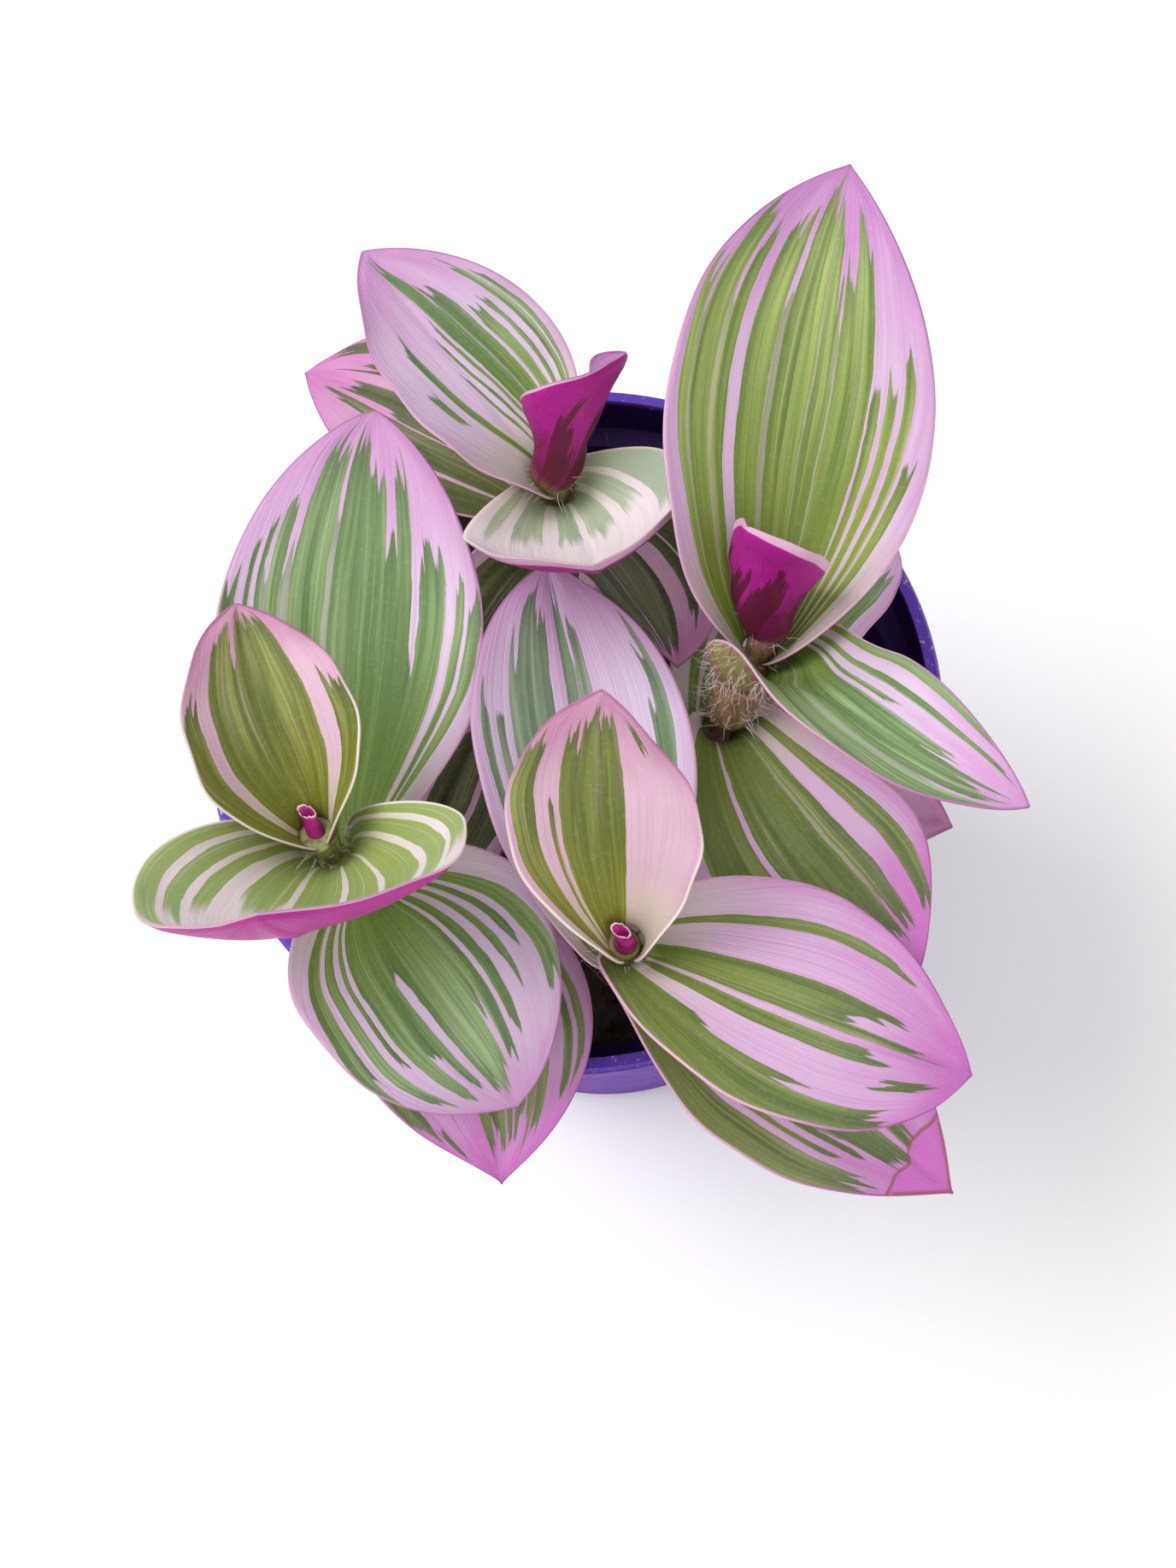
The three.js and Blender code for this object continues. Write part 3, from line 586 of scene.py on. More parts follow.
def blade_materials(name, number):
    """The upper face, with its rim, and the underside of one leaf."""
    plan = {**USUAL_STRIPES, **STRIPES[name]}
    rim = RIM_CREAM if name in CREAM_RIMMED else RIM_PINK
    colours = [rgb(*colour) for colour in PALETTES[plan["palette"]]] + [rim]
    seed = 3.7 * number
    made = []
    for face in ("top", "under"):
        material, skin = start_material(f"leaf_{name}_{face}")
        uv = place("ShaderNodeUVMap", uv_map="blade").outputs[0]
        field = use(FIELD, {"UV": uv, "Spread": plan["spread"], "Lean": plan["lean"],
                            "Swing": plan["swing"], "Seed": seed})
        at = {"Across": field["Across"], "Along": field["Along"], "Seed": seed}
        stripe = stripe_ramp(field["Ramp"], plan["stripes"])
        mask = use(MASK, {**at, "Stripe": stripe, "Soft": plan["soft"]})
        height = use(RELIEF, at)["Height"]
        margin = attribute("margin")
        if face == "top":
            colour, rough = use(PAINT, {
                **at, "Margin": margin, "Green": mask["Green"], "Ending": mask["Ending"],
                "Tone": mask["Tone"], **dict(zip(BLADE_COLOURS, colours))})
            if "scar" in plan:
                colour = torn_line(colour, at, margin, plan["scar"])
        else:
            colour = underside(uv, at, mask["Green"], margin, plan["sheath"], plan["hem"])
            rough = scaled(height, 0.2, 0.35)
        skin["Specular IOR Level"].default_value = BLADE_GLOSS
        finish_skin(skin, colour, rough, height, 0.5, 0.35)
        made.append(material)
    return made


# ---- the plant's form ----
def stem_radius(z):
    share = min(max((z - SOIL_LEVEL) / (STEM_TOP - SOIL_LEVEL), 0), 1)
    return STEM_FOOT_RADIUS + (STEM_TIP_RADIUS - STEM_FOOT_RADIUS) * share


def clasp_radius(z):
    return stem_radius(z) + BLADE / 2 + GAP + CLASP_PLAY


def stem_at(shoot, z):
    """Point and direction of a stem at a height, by a smooth cubic between its points."""
    knots = [Vector(k) for k in STEMS[shoot]]
    last = len(knots) - 1

    def slope(a, b):
        return (b - a) / (b.z - a.z)

    def tangent(k):
        if k == 0:
            return slope(knots[0], knots[1])
        if k == last:
            return slope(knots[last - 1], knots[last])
        return (slope(knots[k - 1], knots[k]) + slope(knots[k], knots[k + 1])) / 2

    if z <= knots[0].z:
        return Vector((knots[0].x, knots[0].y, z)), Vector((0, 0, 1))
    k = 0
    while k < last - 1 and z > knots[k + 1].z:
        k += 1
    span = knots[k + 1].z - knots[k].z
    s = (z - knots[k].z) / span
    spot = (knots[k] * ((1 + 2 * s) * (1 - s) ** 2) + tangent(k) * (s * (1 - s) ** 2 * span)
            + knots[k + 1] * (s * s * (3 - 2 * s)) + tangent(k + 1) * (s * s * (s - 1) * span))
    spot.z = z
    return spot, tangent(k).lerp(tangent(k + 1), s).normalized()


def outline(t, base, widest, tip):
    """Half-width along a blade as a share of the full half-width."""
    if t < widest:
        return base + (1 - base) * sin(pi / 2 * t / widest) ** 0.95
    return max(1 - ((t - widest) / (1 - widest)) ** 2.1, 0) ** tip


def leaf_frame(leaf, axis, t):
    """Directions along, across and up from a blade at a share of its length."""
    pitch = radians(leaf["pitch"] - leaf["bend"] * t)
    yaw = radians(leaf["yaw"] + leaf["swerve"] * t)
    grip = exp(-t / ELBOW)
    level = cos(pitch)
    free = Vector((level * cos(yaw), level * sin(yaw), sin(pitch)))
    along = (free * (1 - grip) + axis * grip).normalized()
    flat = Vector((-sin(yaw), cos(yaw), 0))
    across = (flat - along * flat.dot(along)).normalized()
    turn = radians(leaf["roll"] + leaf["twist"] * t) * (1 - exp(-((t / ROLL_ONSET) ** 2)))
    across = Matrix.Rotation(turn, 3, along) @ across
    return along, across, along.cross(across)


def leaf_spine(shoot, leaf):
    """Place and directions of a blade's midline at each of its rows."""
    seat, axis = stem_at(shoot, leaf["z"])
    before = leaf_frame(leaf, axis, 0)
    spot = seat - before[2] * clasp_radius(leaf["z"])
    spine = [(spot.copy(), *before)]
    for k in range(1, BLADE_ROWS + 1):
        after = leaf_frame(leaf, axis, k / BLADE_ROWS)
        spot = spot + (before[0] + after[0]) * (leaf["length"] / BLADE_ROWS / 2)
        spine.append((spot.copy(), *after))
        before = after
    return spine


def put_in_scene(name, data):
    thing = bpy.data.objects.new(name, data)
    bpy.context.scene.collection.objects.link(thing)
    return thing


def finished_mesh(name, bm, smooth=True):
    """A mesh in the frame's metres, from one in millimetres."""
    bmesh.ops.scale(bm, vec=(MM, MM, MM), verts=bm.verts)
    mesh = bpy.data.meshes.new(name)
    bm.to_mesh(mesh)
    bm.free()
    mesh.polygons.foreach_set("use_smooth", [smooth] * len(mesh.polygons))
    return mesh


def shaped_mesh(thing):
    """The mesh that an object has after its modifiers, or that a curve makes."""
    graph = bpy.context.evaluated_depsgraph_get()
    return bpy.data.meshes.new_from_object(thing.evaluated_get(graph))


def new_piece(name, mesh, materials, slot, *nodes):
    """A mesh as a piece of the plant, with the nodes of the frame that it replaces."""
    if isinstance(mesh, bmesh.types.BMesh):
        mesh = finished_mesh(name, mesh)
    for material in materials:
        mesh.materials.append(material)
    piece = put_in_scene(name, mesh)
    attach(piece, "root")
    if nodes:
        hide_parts(*nodes)
    return piece


# ---- how each blade departs from an even curl, in millimetres and shares of its length ----
FREE_FROM = 0.25  # its base and its tip keep to the curl
FREE_TO = 0.08
CREASE_DEPTH = 0.35
CREASE_WIDTH = 0.9
RIPPLE = 0.2
RIPPLE_WAVES = 23
BUCKLE = 0.5
THIN_MARGIN = 0.35  # share of the blade's thickness that is left at the margin
THINNING = 2.5  # over about so many millimetres
HAIRY_SHARE = 0.3  # share of the blade, from its base, that bears hairs
HAIR_CHANCE = 0.09

# the sheath that shows best is wide and loose: share of its height, share of its radius
SHEATH_PROFILES = {
    ("east", 3): ((-0.45, 0.7), (-0.2, 0.95), (0.1, 1.08), (0.5, 1.16), (0.9, 1.24), (1.2, 1.34),
                  (1.45, 1.46), (1.43, 1.3)),
}
SHEATH_DRIFT = Vector((0.5, -0.9, 0))
HAIRY_BASES = {}  # where those hairs grow, and which way


def build_leaf(shoot, number, settings, count):
    name = f"{shoot}_{number}"
    leaf = {**USUAL, **settings}
    spine = leaf_spine(shoot, leaf)
    base = radians(leaf["wrap"]) * clasp_radius(leaf["z"]) / leaf["width"]
    bm = bmesh.new()
    uv = bm.loops.layers.uv.new("blade")
    margin = bm.verts.layers.float.new("margin")
    thick = bm.verts.layers.deform.verify()
    bmesh.ops.create_grid(bm, x_segments=BLADE_COLUMNS, y_segments=BLADE_ROWS, size=1)
    for face in bm.faces:
        for loop in face.loops:
            loop[uv].uv = (loop.vert.co.x / 2 + 0.5, loop.vert.co.y / 2 + 0.5)
    for vert in bm.verts:
        u, row = vert.co.x, round((vert.co.y + 1) / 2 * BLADE_ROWS)
        t = row / BLADE_ROWS
        spot, _, across, up = spine[row]
        share = outline(t, base, leaf["widest"], leaf["point"])
        half = max(leaf["width"] / 2 * share, TIP_HALF_WIDTH)
        clasping = (leaf["wrap"] - leaf["cup"]) * exp(-t / leaf["open"])
        arc = radians(leaf["cup"] * (1 - CUP_LOSS * t) + clasping)
        radius = half / (arc / 2)
        angle = u * arc / 2
        free = min(t / FREE_FROM, 1) * min((1 - t) / FREE_TO, 1)
        crease = -CREASE_DEPTH * exp(-((u * half / CREASE_WIDTH) ** 2)) * free
        ripple = RIPPLE * abs(u) ** 3 * sin(t * RIPPLE_WAVES + count + 2 * (u > 0)) * free
        flow = BUCKLE * noise.noise(Vector((u * 1.6, t * 3, count * 5))) * free
        normal = up * cos(angle) - across * sin(angle)
        vert.co = (spot + across * (radius * sin(angle))
                   + up * (radius * (1 - cos(angle))) + normal * (crease + ripple + flow))
        loose = (shoot, number) in SHEATH_PROFILES
        if loose and t < HAIRY_SHARE and random.random() < HAIR_CHANCE:
            HAIRY_BASES.setdefault(shoot, []).append((vert.co.copy(), -normal))
        vert[margin] = (1 - abs(u)) * half
        vert[thick][0] = min(1, THIN_MARGIN + vert[margin] / THINNING)
    bmesh.ops.reverse_faces(bm, faces=bm.faces)
    skins = blade_materials(name, count)
    piece = new_piece(f"blade_{name}", bm, skins, "leaf_skin", f"leaf_{name}")
    piece.vertex_groups.new(name="thickness")
    wall = piece.modifiers.new("thickness", "SOLIDIFY")
    wall.thickness = BLADE * MM
    wall.offset = 0
    wall.vertex_group = "thickness"
    wall.material_offset = 1


count = 0
for shoot, leaves in LEAVES.items():
    for number, settings in enumerate(leaves, 1):
        count += 1
        build_leaf(shoot, number, settings, count)


def turned(profile, steps):
    """A closed mesh turned round the pot's axis, from a profile of radius and height."""
    bm = bmesh.new()
    verts = [bm.verts.new((r, 0, z)) for r, z in profile]
    edges = [bm.edges.new(pair) for pair in zip(verts, verts[1:])]
    bmesh.ops.spin(bm, geom=verts + edges, cent=(0, 0, 0), axis=(0, 0, 1), angle=tau,
                   steps=steps, use_merge=True)
    bmesh.ops.remove_doubles(bm, verts=bm.verts, dist=0.001)
    bmesh.ops.recalc_face_normals(bm, faces=bm.faces)
    return bm


# ---- pot ----
def pot_wall_radius(z):
    skirt = POT_HEIGHT - RIM_SKIRT
    return BASE_RADIUS + (z - EDGE) * (RIM_RADIUS - RIM_STEP - BASE_RADIUS) / (skirt - EDGE)


def pot_material():
    """Violet plastic: dusty inside, where painted shade makes it nearly black; worn on top of the
    rim, where painted light makes it lighter and bluer; plain outside.
    """
    material, skin = start_material("pot_plastic_violet")
    spot = here()
    millimetres = place("ShaderNodeVectorMath", {0: spot, "Scale": 1 / MM}, operation="SCALE")
    x, y, height = place("ShaderNodeSeparateXYZ", {0: millimetres.outputs[0]}).outputs
    radius = calc("SQRT", calc("ADD", times(x, x), times(y, y)))
    slope = (RIM_RADIUS - RIM_STEP - BASE_RADIUS) / (POT_HEIGHT - RIM_SKIRT - EDGE)
    wall_middle = scaled(height, slope, BASE_RADIUS - EDGE * slope - WALL / 2)
    in_collar = calc("GREATER_THAN", height, POT_HEIGHT - RIM_SKIRT + EDGE)
    within = calc("MAXIMUM", wall_middle, times(in_collar, RIM_RADIUS - 1.5))
    inside = times(calc("LESS_THAN", radius, within),
                   step(height, POT_HEIGHT - 0.1, POT_HEIGHT - 0.8))
    inside = times(inside, calc("GREATER_THAN", height, POT_FLOOR - 0.5))
    top = step(height, POT_HEIGHT - 1.2, POT_HEIGHT - 0.2)
    outside = times(minus(1, inside), step(height, POT_HEIGHT - 0.5, POT_HEIGHT - 1.2))

    flow = cloud(spot, 45, 3)
    patches = step(flow, 0.3, 0.7)
    colour = mix(patches, rgb(84, 38, 158), rgb(70, 28, 140))
    # painted shade: the inside of the pot is made nearly black
    colour = mix(times(inside, 0.9), colour, rgb(26, 8, 48))
    # painted light: the top of the rim is made lighter and bluer
    colour = mix(times(top, 0.5), colour, rgb(112, 84, 196))
    wear = times(step(cloud(spot, 900, 3, 0.7), 0.58, 0.72), top)
    colour = mix(times(wear, 0.7), colour, rgb(206, 190, 230))
    scratch = cloud(place("ShaderNodeMapping", {
        "Vector": spot, "Rotation": (0.4, 0.3, 0.6), "Scale": (1, 0.04, 1)}).outputs[0], 1500, 2)
    scratch = times(step(scratch, 0.66, 0.7), step(flow, 0.5, 0.65, 0, 0.35))
    colour = mix(scratch, colour, rgb(150, 120, 190))
    crumbs = times(inside, step(cloud(spot, 330, 3, 0.6), 0.69, 0.72))
    colour = mix(times(crumbs, 0.9), colour, rgb(120, 96, 76))
    dust = times(step(height, SOIL_LEVEL + 9, SOIL_LEVEL - 1), inside)
    dust = times(dust, step(cloud(spot, 130, 5, 0.7), 0.45, 0.65))
    colour = mix(times(dust, 0.8), colour, rgb(46, 34, 26))
    outer_skin = mix(patches, rgb(106, 46, 156), rgb(94, 39, 146))
    colour = mix(times(outside, 0.85), colour, outer_skin)
    rough = scaled(cloud(spot, 300, 3), 0.25, 0.42)
    skin["Specular IOR Level"].default_value = 0.12
    finish_skin(skin, colour, scaled(dust, 0.4, rough), cloud(spot, 700, 2), 0.15, 0.05)
    return material


def build_pot():
    skirt = POT_HEIGHT - RIM_SKIRT
    inside = RIM_RADIUS - RIM_WIDTH
    profile = [
        (0, 0), (CHANNEL_INNER, 0), (CHANNEL_INNER + EDGE, CHANNEL_LIFT),
        (CHANNEL_OUTER - EDGE, CHANNEL_LIFT), (CHANNEL_OUTER, 0), (BASE_RADIUS - EDGE, 0),
        (BASE_RADIUS, EDGE), (pot_wall_radius(skirt), skirt), (RIM_RADIUS - EDGE, skirt + EDGE / 2),
        (RIM_RADIUS, POT_HEIGHT - EDGE), (RIM_RADIUS - EDGE / 2, POT_HEIGHT), (inside, POT_HEIGHT),
        (inside - SKIRT_TAPER, skirt + WALL + EDGE / 2),
        (pot_wall_radius(skirt + WALL) - WALL, skirt + WALL),
        (pot_wall_radius(POT_FLOOR) - WALL, POT_FLOOR), (0, POT_FLOOR),
    ]
    bm = turned(profile, POT_STEPS)
    pot = new_piece("nursery_pot", bm, [pot_material()], "pot_plastic", "pot")
    drill = bmesh.new()
    ring = (CHANNEL_INNER + CHANNEL_OUTER) / 2
    for k in range(DRAIN_HOLES):
        angle = tau * (k + 0.5) / DRAIN_HOLES
        where = Matrix.Translation((ring * cos(angle), ring * sin(angle), POT_FLOOR / 2))
        bmesh.ops.create_cone(drill, cap_ends=True, segments=DRAIN_SIDES, radius1=DRAIN_RADIUS,
                              radius2=DRAIN_RADIUS, depth=3 * POT_FLOOR, matrix=where)
    cutter = put_in_scene("drain_drill", finished_mesh("drain_drill", drill, smooth=False))
    cut = pot.modifiers.new("drain_holes", "BOOLEAN")
    cut.object = cutter
    round_off = pot.modifiers.new("moulded_edges", "BEVEL")
    round_off.width = MOULD_RADIUS * MM
    round_off.segments = 3
    round_off.limit_method = "ANGLE"
    round_off.angle_limit = radians(MOULD_ANGLE)
    round_off.harden_normals = True
    drilled = shaped_mesh(pot)
    pot.modifiers.clear()
    pot.data = drilled
    bpy.data.objects.remove(cutter)


build_pot()


# ---- soil ----
def soil_height(x, y):
    waves = SOIL_RELIEF * sin(0.2 * x + 1) * cos(0.2 * y)
    lumps = SOIL_LUMPS * noise.noise(Vector((x * 0.35, y * 0.35, 4)))
    grit = SOIL_GRIT * noise.noise(Vector((x * 1.1, y * 1.1, 9)))
    return SOIL_LEVEL + waves + lumps + grit


def soil_material():
    material, skin = start_material("peat")
    spot = here()
    clods = cloud(spot, 420, 5, 0.65)
    colour = mix(step(clods, 0.35, 0.7), rgb(30, 21, 16), rgb(66, 48, 36))
    specks = step(cloud(spot, 2100, 2), 0.68, 0.74)
    colour = mix(times(specks, 0.5), colour, rgb(140, 112, 84))
    finish_skin(skin, colour, step(clods, 0.3, 0.7, 0.75, 0.95), clods, 0.8, 0.8)
    return material


PEAT = soil_material()


def build_soil():
    outer = pot_wall_radius(SOIL_LEVEL - SOIL_RELIEF) - WALL - 2 * GAP
    bottom = POT_FLOOR + GAP
    foot = pot_wall_radius(bottom) - WALL - 2 * GAP
    surface = [(outer * k / SOIL_RINGS, SOIL_LEVEL) for k in range(SOIL_RINGS + 1)]
    bm = turned(surface + [(foot, bottom), (0, bottom)], SOIL_STEPS)
    for vert in bm.verts:
        if vert.co.z > SOIL_LEVEL - 1:
            vert.co.z = soil_height(vert.co.x, vert.co.y)
    new_piece("potting_soil", bm, [PEAT], "soil", "soil")


def build_crumbs():
    """Loose crumbs of peat that lie on the soil."""
    bm = bmesh.new()
    outer = pot_wall_radius(SOIL_LEVEL) - WALL - 2
    for _ in range(CRUMBS):
        angle, r = random.uniform(0, tau), outer * sqrt(random.random())
        x, y = r * cos(angle), r * sin(angle)
        size = random.uniform(*CRUMB_SIZES)
        made = bmesh.ops.create_icosphere(bm, subdivisions=1, radius=size)["verts"]
        for vert in made:
            vert.co *= random.uniform(0.7, 1.25)
        turn, axis = random.uniform(0, 6), Vector((random.random(), random.random(), 1))
        bmesh.ops.rotate(bm, cent=(0, 0, 0), matrix=Matrix.Rotation(turn, 3, axis), verts=made)
        bmesh.ops.translate(bm, vec=(x, y, soil_height(x, y) + size * 0.4), verts=made)
    new_piece("soil_crumbs", bm, [PEAT], "soil")


build_soil()
build_crumbs()


# ---- stems, sheaths and buds ----
def stem_material():
    material, skin = start_material("stem_skin_pink")
    spot = here()
    long_way = place("ShaderNodeMapping", {"Vector": spot, "Scale": (1, 1, 0.12)}).outputs[0]
    streak = cloud(long_way, 1300, 3)
    blotch = cloud(spot, 110, 2)
    blotches = step(blotch, 0.4, 0.65, 0, 0.8)
    colour = mix(blotches, rgb(150, 98, 94), rgb(138, 128, 76))
    right, _, height = place("ShaderNodeSeparateXYZ", {0: spot}).outputs
    # the east shoot stays brown to its tip, and below its loose sheath it is darkened with painted
    # shade
    green = times(step(height, 0.109, 0.116, 0, 0.9), step(right, 0.016, 0.01))
    colour = mix(green, colour, rgb(148, 156, 84))
    colour = mix(step(streak, 0.45, 0.65, 0, 0.55), colour, rgb(96, 52, 56))
    low = step(height, 0.1085, 0.1055, 0, 0.75)
    colour = mix(times(low, step(right, 0.012, 0.016)), colour, rgb(52, 30, 28))
    finish_skin(skin, colour, scaled(streak, 0.25, 0.35), streak, 0.4, 0.2)
    return material


def bud_material():
    material, skin = start_material("rolled_leaf")
    patch = cloud(here(), 700, 3)
    colour = mix(step(patch, 0.35, 0.65), rgb(196, 44, 150), rgb(150, 26, 104))
    colour = mix(step(attribute("rise"), 0.93, 0.98), colour, rgb(238, 206, 214))
    finish_skin(skin, colour, scaled(patch, 0.2, 0.35), patch, 0.3, 0.2)
    return material


STEM_SKIN, ROLLED = stem_material(), bud_material()


def ring_matrix(spot, axis):
    across = (Vector((1, 0, 0)) - axis * axis.x).normalized()
    side = axis.cross(across)
    turn = Matrix((across, side, axis)).transposed()
    return Matrix.Translation(spot) @ turn.to_4x4()


def grow_tube(bm, stations):
    """A closed tube through stations of place, direction and radius. Gives its rings."""
    spot, axis, radius = stations[0]
    first = bmesh.ops.create_circle(bm, cap_ends=False, segments=STEM_SIDES, radius=radius,
                                    matrix=ring_matrix(spot, axis))["verts"]
    rings = [first]
    for spot, axis, radius in stations[1:]:
        old = rings[-1]
        edges = [bm.edges.get(pair) for pair in zip(old, old[1:] + old[:1])]
        grown = bmesh.ops.extrude_edge_only(bm, edges=edges)["geom"]
        new = {g for g in grown if isinstance(g, bmesh.types.BMVert)}
        ring = [next(e.other_vert(v) for e in v.link_edges if e.other_vert(v) in new) for v in old]
        where = ring_matrix(spot, axis)
        for k, vert in enumerate(ring):
            angle = tau * k / STEM_SIDES
            vert.co = where @ Vector((-radius * sin(angle), radius * cos(angle), 0))
        rings.append(ring)
    for ring in (rings[0], rings[-1]):
        bmesh.ops.contextual_create(bm, geom=ring)
    return rings


# how far the rolled youngest leaf leans, to the right and back
BUD_LEAN = {"west": Vector((-0.3, 2.5, 0)), "south": Vector((-0.9, 1.5, 0))}
BUD_LENGTH = 6
BUD_TOP = 123.2
BUD_RADIUS = 1.25
BUD_FLAT = Vector((0.5, 0.87, 0))
BUD_SQUEEZE = 0.5
BUD_LIP = 0.9  # how far the rolled leaf's tip rises behind its opening
# share of the height, share of the radius: up the outside, over the lip, down the inside
BUD_PROFILE = ((0, 1.2), (0.3, 1.1), (0.6, 1), (0.85, 0.95), (1, 1.05), (0.98, 0.9), (0.7, 0.6),
               (0.5, 0.3))
SHEATH_PROFILE = ((0, 0.72), (0.15, 0.9), (0.4, 0.99), (0.75, 0.97), (1, 1), (0.97, 0.85))
STEM_RINGS = 40
BARE_TIP = 3  # the stem ends so far below its top where it carries no bud
NODE_SWELL = 0.45
NODE_DROP = 3.5  # how far below a leaf its node is thickest
NODE_SPREAD = 1.3
STEM_SHRINK = 0.1


def stations_along(shoot, low, high, profile, radius, drift, drift_from):
    """Stations between two heights that follow a profile and drift away from the stem."""
    stations = []
    for share, part in profile:
        spot, axis = stem_at(shoot, low + (high - low) * share)
        stations.append((spot + drift * max(share - drift_from, 0), axis, radius * part))
    return stations


def build_stem(shoot):
    """A stem with the sheaths of its leaves, and the rolled youngest leaf where it shows."""
    leaves = LEAVES[shoot]
    top = STEMS[shoot][-1][2]
    bm = bmesh.new()
    rise = bm.verts.layers.float.new("rise")
    bottom = SOIL_LEVEL - STEM_DEPTH
    budding = shoot in BUD_LEAN
    tip = top - (BUD_LENGTH if budding else BARE_TIP)
    stations = []
    for k in range(STEM_RINGS + 1):
        z = bottom + (tip - bottom) * k / STEM_RINGS
        swell = sum(NODE_SWELL * exp(-(((z - leaf["z"] + NODE_DROP) / NODE_SPREAD) ** 2))
                    for leaf in leaves)
        stations.append((*stem_at(shoot, z), stem_radius(z) + swell - STEM_SHRINK))
    grow_tube(bm, stations)
    for k, leaf in enumerate(leaves):
        low = leaf["z"] - COLLAR_LENGTH
        if k + 1 < len(leaves):
            low = max(low, leaves[k + 1]["z"] + CLASP_HEIGHT)
        high = leaf["z"] - GAP
        if high - low >= 1:
            profile = SHEATH_PROFILES.get((shoot, k + 1), SHEATH_PROFILE)
            outer = clasp_radius(leaf["z"]) + BLADE / 2
            grow_tube(bm, stations_along(shoot, low, high, profile, outer, SHEATH_DRIFT, 0.9))
    faces_before = set(bm.faces)
    if budding:
        stations = stations_along(shoot, top - BUD_LENGTH, BUD_TOP, BUD_PROFILE, BUD_RADIUS,
                                  BUD_LEAN[shoot], 0.3)
        rings = grow_tube(bm, stations)
        for ring, (share, part), (spot, *_) in zip(rings, BUD_PROFILE, stations):
            for k, vert in enumerate(ring):
                vert[rise] = share if part > 0.8 else 0.5 * share
                vert.co -= BUD_FLAT * ((vert.co - spot).dot(BUD_FLAT) * BUD_SQUEEZE * share)
                if share > 0.9:
                    behind = max(cos(tau * k / STEM_SIDES), 0)
                    ragged = noise.noise(Vector((k * 0.7, len(shoot), 3)))
                    vert.co.z += BUD_LIP * behind + ragged
    for face in set(bm.faces) - faces_before:
        face.material_index = 1
    bmesh.ops.recalc_face_normals(bm, faces=bm.faces)
    new_piece(f"shoot_{shoot}", bm, [STEM_SKIN, ROLLED], "stem_skin", f"stem_{shoot}")


for shoot in STEMS:
    build_stem(shoot)


# ---- hairs and fibres: how many on a sheath, how far below its top they grow, how much they
# stand off it, how far they rise or hang, and how much they curl ----
TIGHT_SHEATH = (26, 4.5, 0.95, (0, 1.4), 0.3)
LOOSE_SHEATH = (150, 6, 1.12, (-0.5, 2.2), 0.45)
HAIR_SIZES = (1.5, 3.8)
HAIR_RADIUS = 0.045
STRAIGHTS = 5  # short straight lengths that a hair or fibre is made of
THREAD_TAPER = 0.75


def thread_material(name, first, second):
    material, skin = start_material(name)
    patch = cloud(here(), 300, 2)
    join(mix(step(patch, 0.35, 0.65), first, second), skin["Base Color"])
    join(scaled(patch, 0.3, 0.4), skin["Roughness"])
    return material


def build_threads(name, paths, radius, material, slot):
    """Thin tapering threads along short paths, as one mesh."""
    curve = bpy.data.curves.new(name, "CURVE")
    curve.dimensions = "3D"
    curve.bevel_depth = radius * MM
    curve.bevel_resolution = 0
    curve.use_fill_caps = True
    for path in paths:
        spline = curve.splines.new("POLY")
        spline.points.add(len(path) - 1)
        for k, (spot, dot) in enumerate(zip(path, spline.points)):
            dot.co = (*(spot * MM), 1)
            dot.radius = 1 - THREAD_TAPER * k / (len(path) - 1)
    draft = put_in_scene(name, curve)
    mesh = shaped_mesh(draft)
    bpy.data.objects.remove(draft)
    mesh.materials.clear()
    new_piece(name, mesh, [material], slot)


def hair(root, heading, length, curl):
    """A path that curls at random."""
    path, way = [root.copy()], heading.normalized()
    for _ in range(STRAIGHTS):
        sway = Vector([random.uniform(-1, 1) for _ in range(3)])
        way = (way + sway * curl).normalized()
        path.append(path[-1] + way * (length / STRAIGHTS))
    return path


HAIR = thread_material("hair_white", rgb(236, 230, 226), rgb(214, 196, 190))
FIBRE = thread_material("peat_fibre", rgb(150, 118, 84), rgb(96, 70, 50))

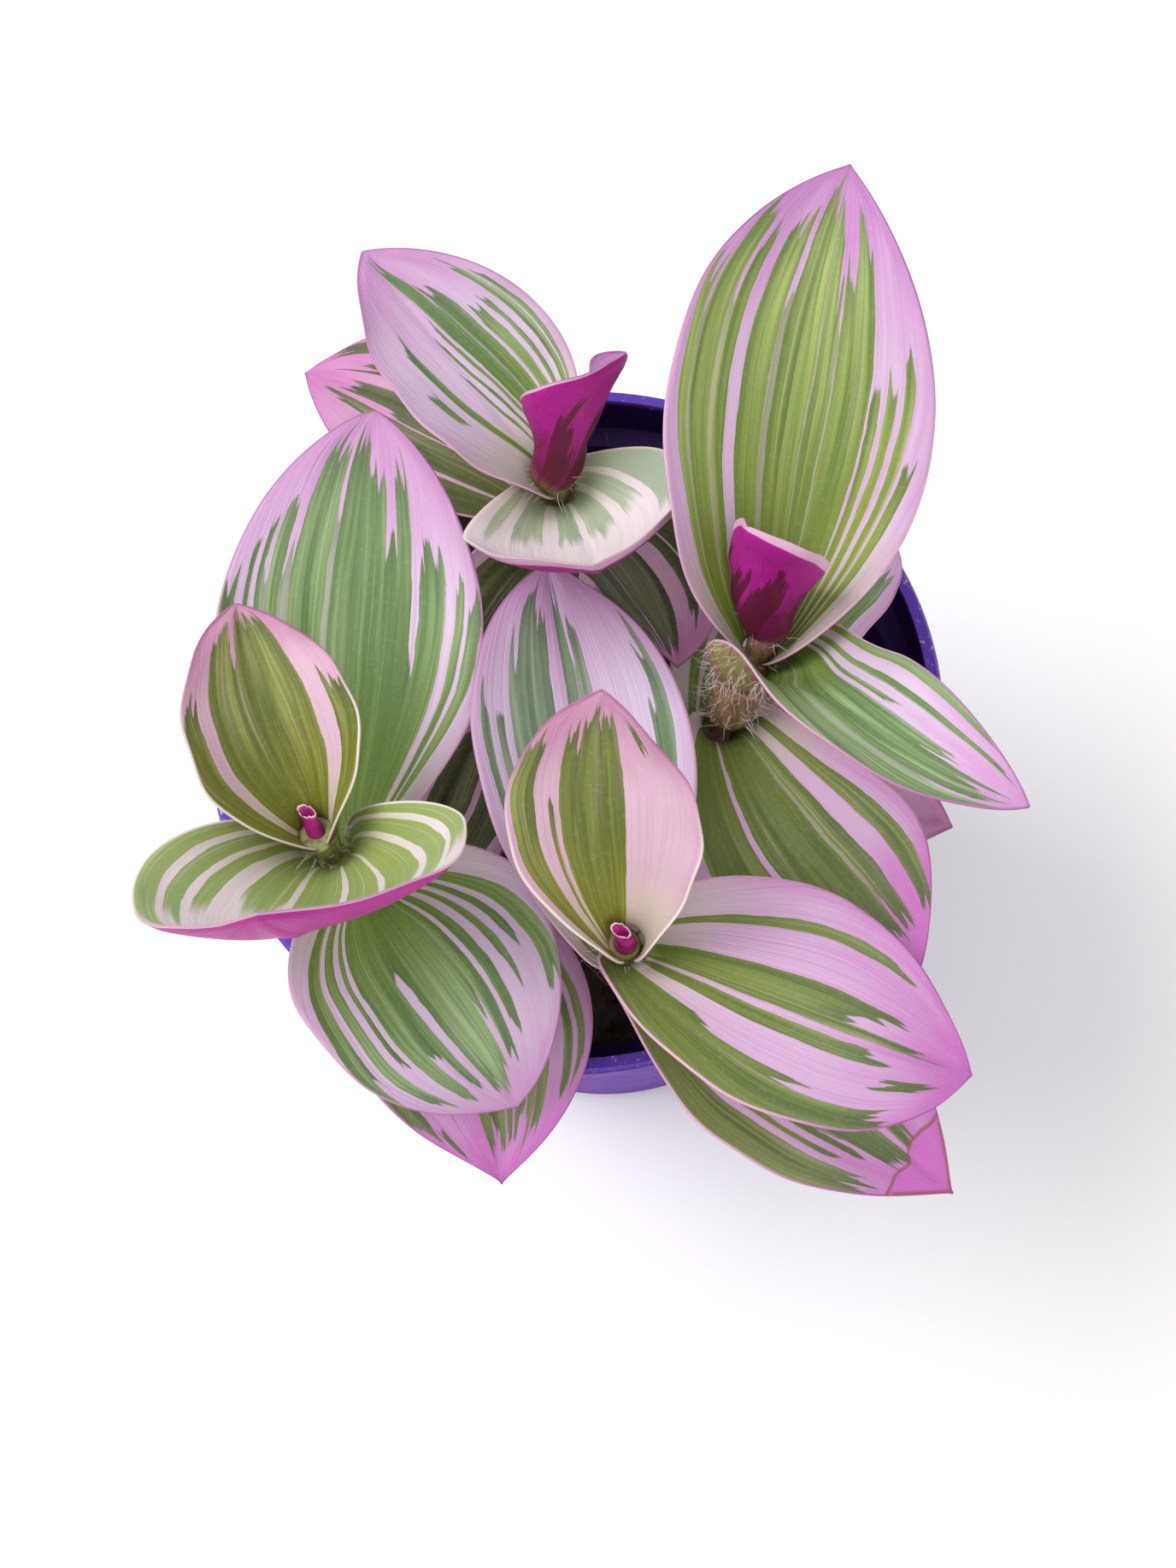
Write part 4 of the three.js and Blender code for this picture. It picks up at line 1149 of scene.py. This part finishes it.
for shoot, leaves in LEAVES.items():
    paths = []
    for number, leaf in enumerate(leaves, 1):
        kind = LOOSE_SHEATH if (shoot, number) in SHEATH_PROFILES else TIGHT_SHEATH
        how_many, reach, stand_off, rises, curl = kind
        for _ in range(how_many):
            spot, axis = stem_at(shoot, leaf["z"] - random.uniform(0, reach))
            angle = random.uniform(0, tau)
            out = ring_matrix(spot, axis).to_3x3() @ Vector((cos(angle), sin(angle), 0))
            root = spot + out * (clasp_radius(leaf["z"]) + BLADE / 2) * stand_off
            heading = out + axis * random.uniform(*rises)
            paths.append(hair(root, heading, random.uniform(*HAIR_SIZES), curl))
    for root, out in HAIRY_BASES.get(shoot, []):
        heading = out + Vector((0, 0, random.uniform(-0.5, 0.5)))
        paths.append(hair(root, heading, random.uniform(1.5, 3), LOOSE_SHEATH[-1]))
    build_threads(f"sheath_hairs_{shoot}", paths, HAIR_RADIUS, HAIR, "stem_skin")

fibres = []
for _ in range(FIBRES):
    angle, r = random.uniform(0, tau), FIBRE_REACH * sqrt(random.random())
    x, y = r * cos(angle), r * sin(angle)
    lie = Vector((random.uniform(-1, 1), random.uniform(-1, 1), random.uniform(0, 0.25)))
    start = Vector((x, y, soil_height(x, y) + 0.25))
    fibres.append(hair(start, lie, random.uniform(*FIBRE_LENGTHS), 0.35))
build_threads("soil_fibres", fibres, FIBRE_RADIUS, FIBRE, "soil")


# ---- floor, light and camera ----
def build_studio():
    bm = bmesh.new()
    bmesh.ops.create_grid(bm, x_segments=1, y_segments=1, size=FLOOR_SIZE / 2)
    floor = put_in_scene("floor", finished_mesh("floor", bm, smooth=False))
    material, skin = start_material("studio_floor")
    paper = cloud(here(), 3, 3)
    join(mix(paper, rgb(246, 246, 246), rgb(250, 249, 248)), skin["Base Color"])
    skin["Roughness"].default_value = 0.9
    floor.data.materials.append(material)
    world = bpy.data.worlds.new("soft_room")
    world.use_nodes = True
    sky = world.node_tree.nodes["Background"].inputs
    sky["Color"].default_value = (1, 1, 1, 1)
    sky["Strength"].default_value = WORLD_LIGHT
    scene = bpy.context.scene
    scene.world = world
    for name, (spot, aim, size, watts) in LAMPS.items():
        lamp = bpy.data.lights.new(name, "AREA")
        lamp.size = size * MM
        lamp.energy = watts
        holder = put_in_scene(name, lamp)
        holder.location = Vector(spot) * MM
        holder.rotation_euler = (Vector(aim) - Vector(spot)).to_track_quat("-Z", "Y").to_euler()
    lens = bpy.data.cameras.new("camera")
    lens.lens = CAMERA_LENS
    lens.clip_start = 0.01
    scene.camera = put_in_scene("camera", lens)
    scene.camera.location = Vector(CAMERA_PLACE) * MM
    scene.camera.rotation_euler = [radians(a) for a in CAMERA_TURN]
    scene.view_settings.view_transform = "Standard"


build_studio()
